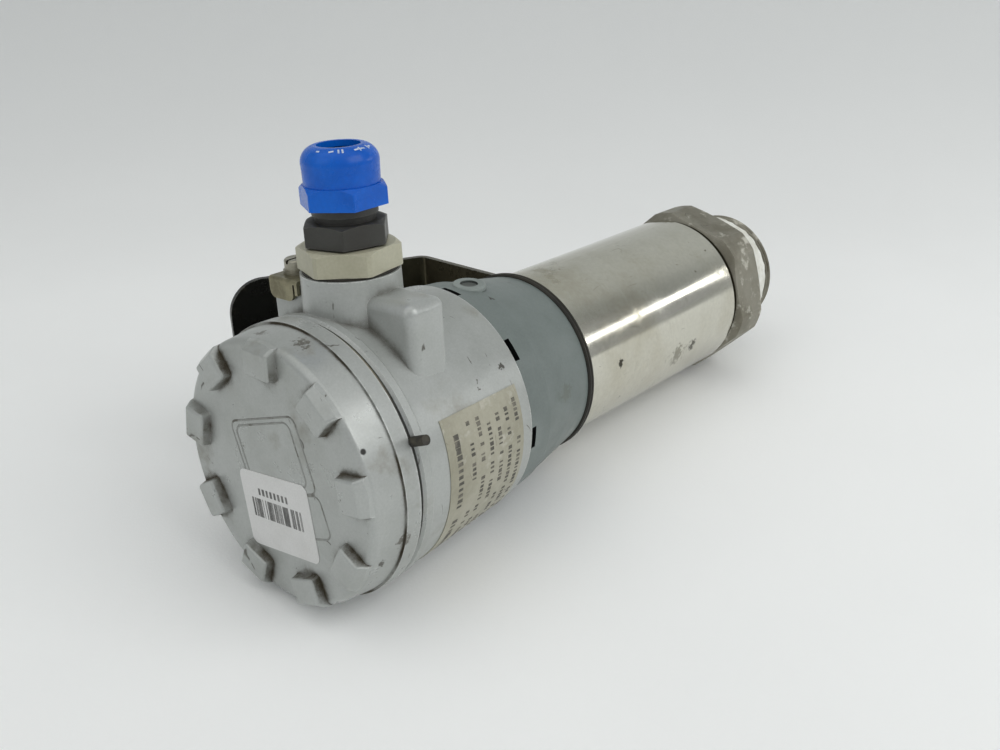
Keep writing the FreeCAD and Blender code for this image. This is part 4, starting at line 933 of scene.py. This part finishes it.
# small marks pressed onto a curved surface
def stampMarks(name, node, marks, body, finish, cells=5, lift=0.04 * mm):
    # each mark: the point it is aimed from, the point aimed at, its size both ways, its turn and outline
    tree = BVHTree.FromPolygons([v.co for v in nodes[node].data.vertices],
                                [p.vertices for p in nodes[node].data.polygons])
    points = []
    faces = []
    for mark in marks:
        eye, target = Vector(mark["from"]), Vector(mark["to"])
        way = (target - eye).normalized()
        side = way.cross(Vector((0, 0, 1)) if abs(way.z) < 0.9 else Vector((1, 0, 0))).normalized()
        up = side.cross(way)
        along, rising = heading(mark["turn"])
        right, above = side * along + up * rising, up * along - side * rising
        first = len(points)
        for row in range(cells + 1):
            for column in range(cells + 1):
                u, v = column / cells - 0.5, row / cells - 0.5
                if mark.get("outline") == "triangle":
                    u *= 1 - (v + 0.5)
                offset = right * (u * mark["size"][0]) + above * (v * mark["size"][1])
                hit, normal, _, _ = tree.ray_cast(eye + offset, way)
                points.append(hit + (normal if normal.dot(way) < 0 else -normal) * lift)
        width = cells + 1
        for row in range(cells):
            for column in range(cells):
                corner = first + row * width + column
                faces.append((corner, corner + 1, corner + width + 1, corner + width))
    return addPiece(name, points, faces, body, finish)


capTop = capBox[1].z
capMarkPrint = {"reach": 30.0 * mm, "above": 12.0 * mm, "below": 6.0 * mm, "marks": (
    # angle round the cap, width and height in mm, turn
    (190, 1.1, 0.5, 0), (216, 1.4, 0.5, 12), (229, 0.5, 1.3, 0), (236, 0.5, 1.3, 0), (262, 1.5, 0.5, 8),
    (269, 0.5, 1.4, 0), (276, 1.5, 0.5, -8), (290, 0.5, 1.4, 10), (297, 1.1, 0.5, 0),
)}
capMarks = []
for angle, across, tall, turn in capMarkPrint["marks"]:
    outward = Vector((*heading(angle), 0))
    above = Vector((entryX, 0, capTop + capMarkPrint["above"]))
    capMarks.append({"from": above + outward * capMarkPrint["reach"],
                     "to": (entryX, 0, capTop - capMarkPrint["below"]),
                     "size": (across * mm, tall * mm), "turn": turn})
stampMarks("cap_marks", "gland_cap", capMarks, "gland_cap", "cap_print")
collarMark = {"station": -0.1438, "angle": 111, "size": (2.6 * mm, 2.4 * mm), "turn": 90,
              "outline": "triangle"}
for end, radius in (("from", 0.080), ("to", 0.030)):
    collarMark[end] = onAxis(collarMark["station"], collarMark["angle"], radius)
stampMarks("collar_triangle", "collar", [collarMark], "transmitter", "dark_plastic")


# the floor, set under the points the part rests on
weightPoint = Vector((-0.118, 0.0025, 0.001))      # the part's centre of mass, near enough


def restingPlane():
    # the lowest face of the hull that the weight bears on, as its upward normal and a point
    shape = bmesh.new()
    for node in nodes.values():
        shape.from_mesh(node.data)
    hull = bmesh.ops.convex_hull(shape, input=shape.verts, use_existing_faces=False)
    borne = []
    for face in hull["geom"]:
        if isinstance(face, bmesh.types.BMFace):
            under = weightPoint - face.normal * (weightPoint - face.verts[0].co).dot(face.normal)
            if bmesh.geometry.intersect_face_point(face, under):
                borne.append((face.normal.copy(), face.verts[0].co.copy()))
    shape.free()
    normal, point = min(borne, key=lambda found: found[0].z)
    return -normal, point


upWay, floorPoint = restingPlane()
print("floor", [round(c, 4) for c in upWay], [round(c, 4) for c in floorPoint])

viewer = {"azimuth": -47.73, "elevation": 21.82, "roll": -2.75, "distance": 0.3853, "lens": 39.15,
          "aim": (-0.01765, -0.0068, -0.0278)}
studio = {
    "floorBack": 2.0, "floorFront": 0.30, "bend": 0.35, "bendSteps": 16, "rise": 1.6, "width": 4.0,
    "paleTo": 0.0, "dimFrom": 0.5, "pale": (paint(246, 247, 246), paint(250, 251, 250)),
    "dim": paint(212, 214, 213), "floorRough": 0.85, "floorSpecular": 0.2,
    "horizon": (0.4, 0.9), "sky": (paint(170, 172, 174), paint(226, 227, 226)), "skyStrength": 1.05,
}


def cameraTurn():
    azimuth, elevation = math.radians(viewer["azimuth"]), math.radians(viewer["elevation"])
    forward = Vector((math.sin(-azimuth) * math.cos(elevation), math.cos(azimuth) * math.cos(elevation),
                      -math.sin(elevation)))
    right = forward.cross(Vector((0, 0, 1))).normalized()
    up = right.cross(forward)
    along, rising = heading(viewer["roll"])
    return forward, right * along + up * rising, up * along - right * rising


def makeCamera():
    forward, right, up = cameraTurn()
    aim = (cadLow + cadHigh) / 2 + Vector(viewer["aim"])
    data = bpy.data.cameras.new("camera")
    data.lens = viewer["lens"]
    data.sensor_width = 36.0
    data.clip_start = 0.01
    camera = addObject("camera", data)
    turn = Matrix((right, up, -forward)).transposed().to_4x4()
    camera.matrix_world = Matrix.Translation(aim - forward * viewer["distance"]) @ turn
    bpy.context.scene.camera = camera
    print("camera", [round(c * 1000, 2) for c in camera.location])


makeCamera()


def makeFloor():
    # one sheet: floor, a wide bend, and the rise behind
    forward = cameraTurn()[0]
    away = (forward - upWay * forward.dot(upWay)).normalized()
    side = away.cross(upWay)
    start = floorPoint - away * studio["floorBack"]
    run, bend, steps = studio["floorBack"] + studio["floorFront"], studio["bend"], studio["bendSteps"]
    profile = [(0.0, 0.0), (run, 0.0)]
    for step in range(1, steps + 1):
        angle = math.pi / 2 * step / steps
        profile.append((run + bend * math.sin(angle), bend * (1 - math.cos(angle))))
    profile.append((run + bend, bend + studio["rise"]))
    points = []
    for out, high in profile:
        for across in (-0.5, 0.5):
            points.append(start + away * out + upWay * high + side * across * studio["width"])
    faces = [(2 * k, 2 * k + 1, 2 * k + 3, 2 * k + 2) for k in range(len(profile) - 1)]
    mesh = meshOf("floor", points, faces)
    for face in mesh.polygons:
        face.use_smooth = True
    mesh.materials.append(makeFloorFinish(away))
    addObject("floor", mesh)


def makeFloorFinish(away):
    material, tree, shader, place = startMaterial("floor_cloth")
    soft = ease(tree, cloud(tree, place, 5.0, detail=4.0, roughness=0.5), 0.3, 0.7)
    # the far part of the cloth is painted darker: painted shade where less light reaches
    far = use(tree, rise, Vector=place, Way=away, From=studio["paleTo"], To=studio["dimFrom"])
    colour = mixColour(tree, far, mixColour(tree, soft, *studio["pale"]), studio["dim"])
    fibre = cloud(tree, place, 900.0, detail=3.0)
    bump = put(tree, "ShaderNodeBump", {"Strength": 0.3, "Distance": 0.0002, "Height": fibre}).outputs[0]
    feed(tree, shader, {"Base Color": colour, "Roughness": studio["floorRough"], "Normal": bump,
                        "Specular IOR Level": studio["floorSpecular"]})
    return material


makeFloor()


# light
lamps = {
    "overhead": {"at": (-0.2, 0.1, 0.95), "size": (0.8, 0.8), "watts": 0.5},
    "leftWindow": {"at": (-0.85, 0.1, 0.5), "size": (0.6, 0.6), "watts": 0.6},
    "rightSoft": {"at": (0.1, -0.9, 0.6), "size": (0.8, 0.7), "watts": 3.4},
    "rightWindow": {"at": (1.03, -0.75, 0.27), "size": (0.8, 0.09), "watts": 1.0},
}


def makeLamps():
    middle = (cadLow + cadHigh) / 2
    for name, spec in lamps.items():
        data = bpy.data.lights.new(name, "AREA")
        data.shape = "RECTANGLE"
        data.size, data.size_y = spec["size"]
        data.energy = spec["watts"]
        at = middle + Vector(spec["at"])
        turn = (middle - at).to_track_quat("-Z", "Y").to_matrix().to_4x4()
        addObject(name, data).matrix_world = Matrix.Translation(at) @ turn


def makeWorld():
    world = bpy.data.worlds.new("studio")
    bpy.context.scene.world = world
    world.use_nodes = True
    tree = world.node_tree
    way = put(tree, "ShaderNodeTexCoord").outputs["Generated"]
    share = ease(tree, split(tree, way)[2], *studio["horizon"])
    colour = mixColour(tree, share, *studio["sky"])
    feed(tree, tree.nodes["Background"], {"Color": colour, "Strength": studio["skyStrength"]})


makeLamps()
makeWorld()
bpy.context.scene.view_settings.view_transform = "Standard"
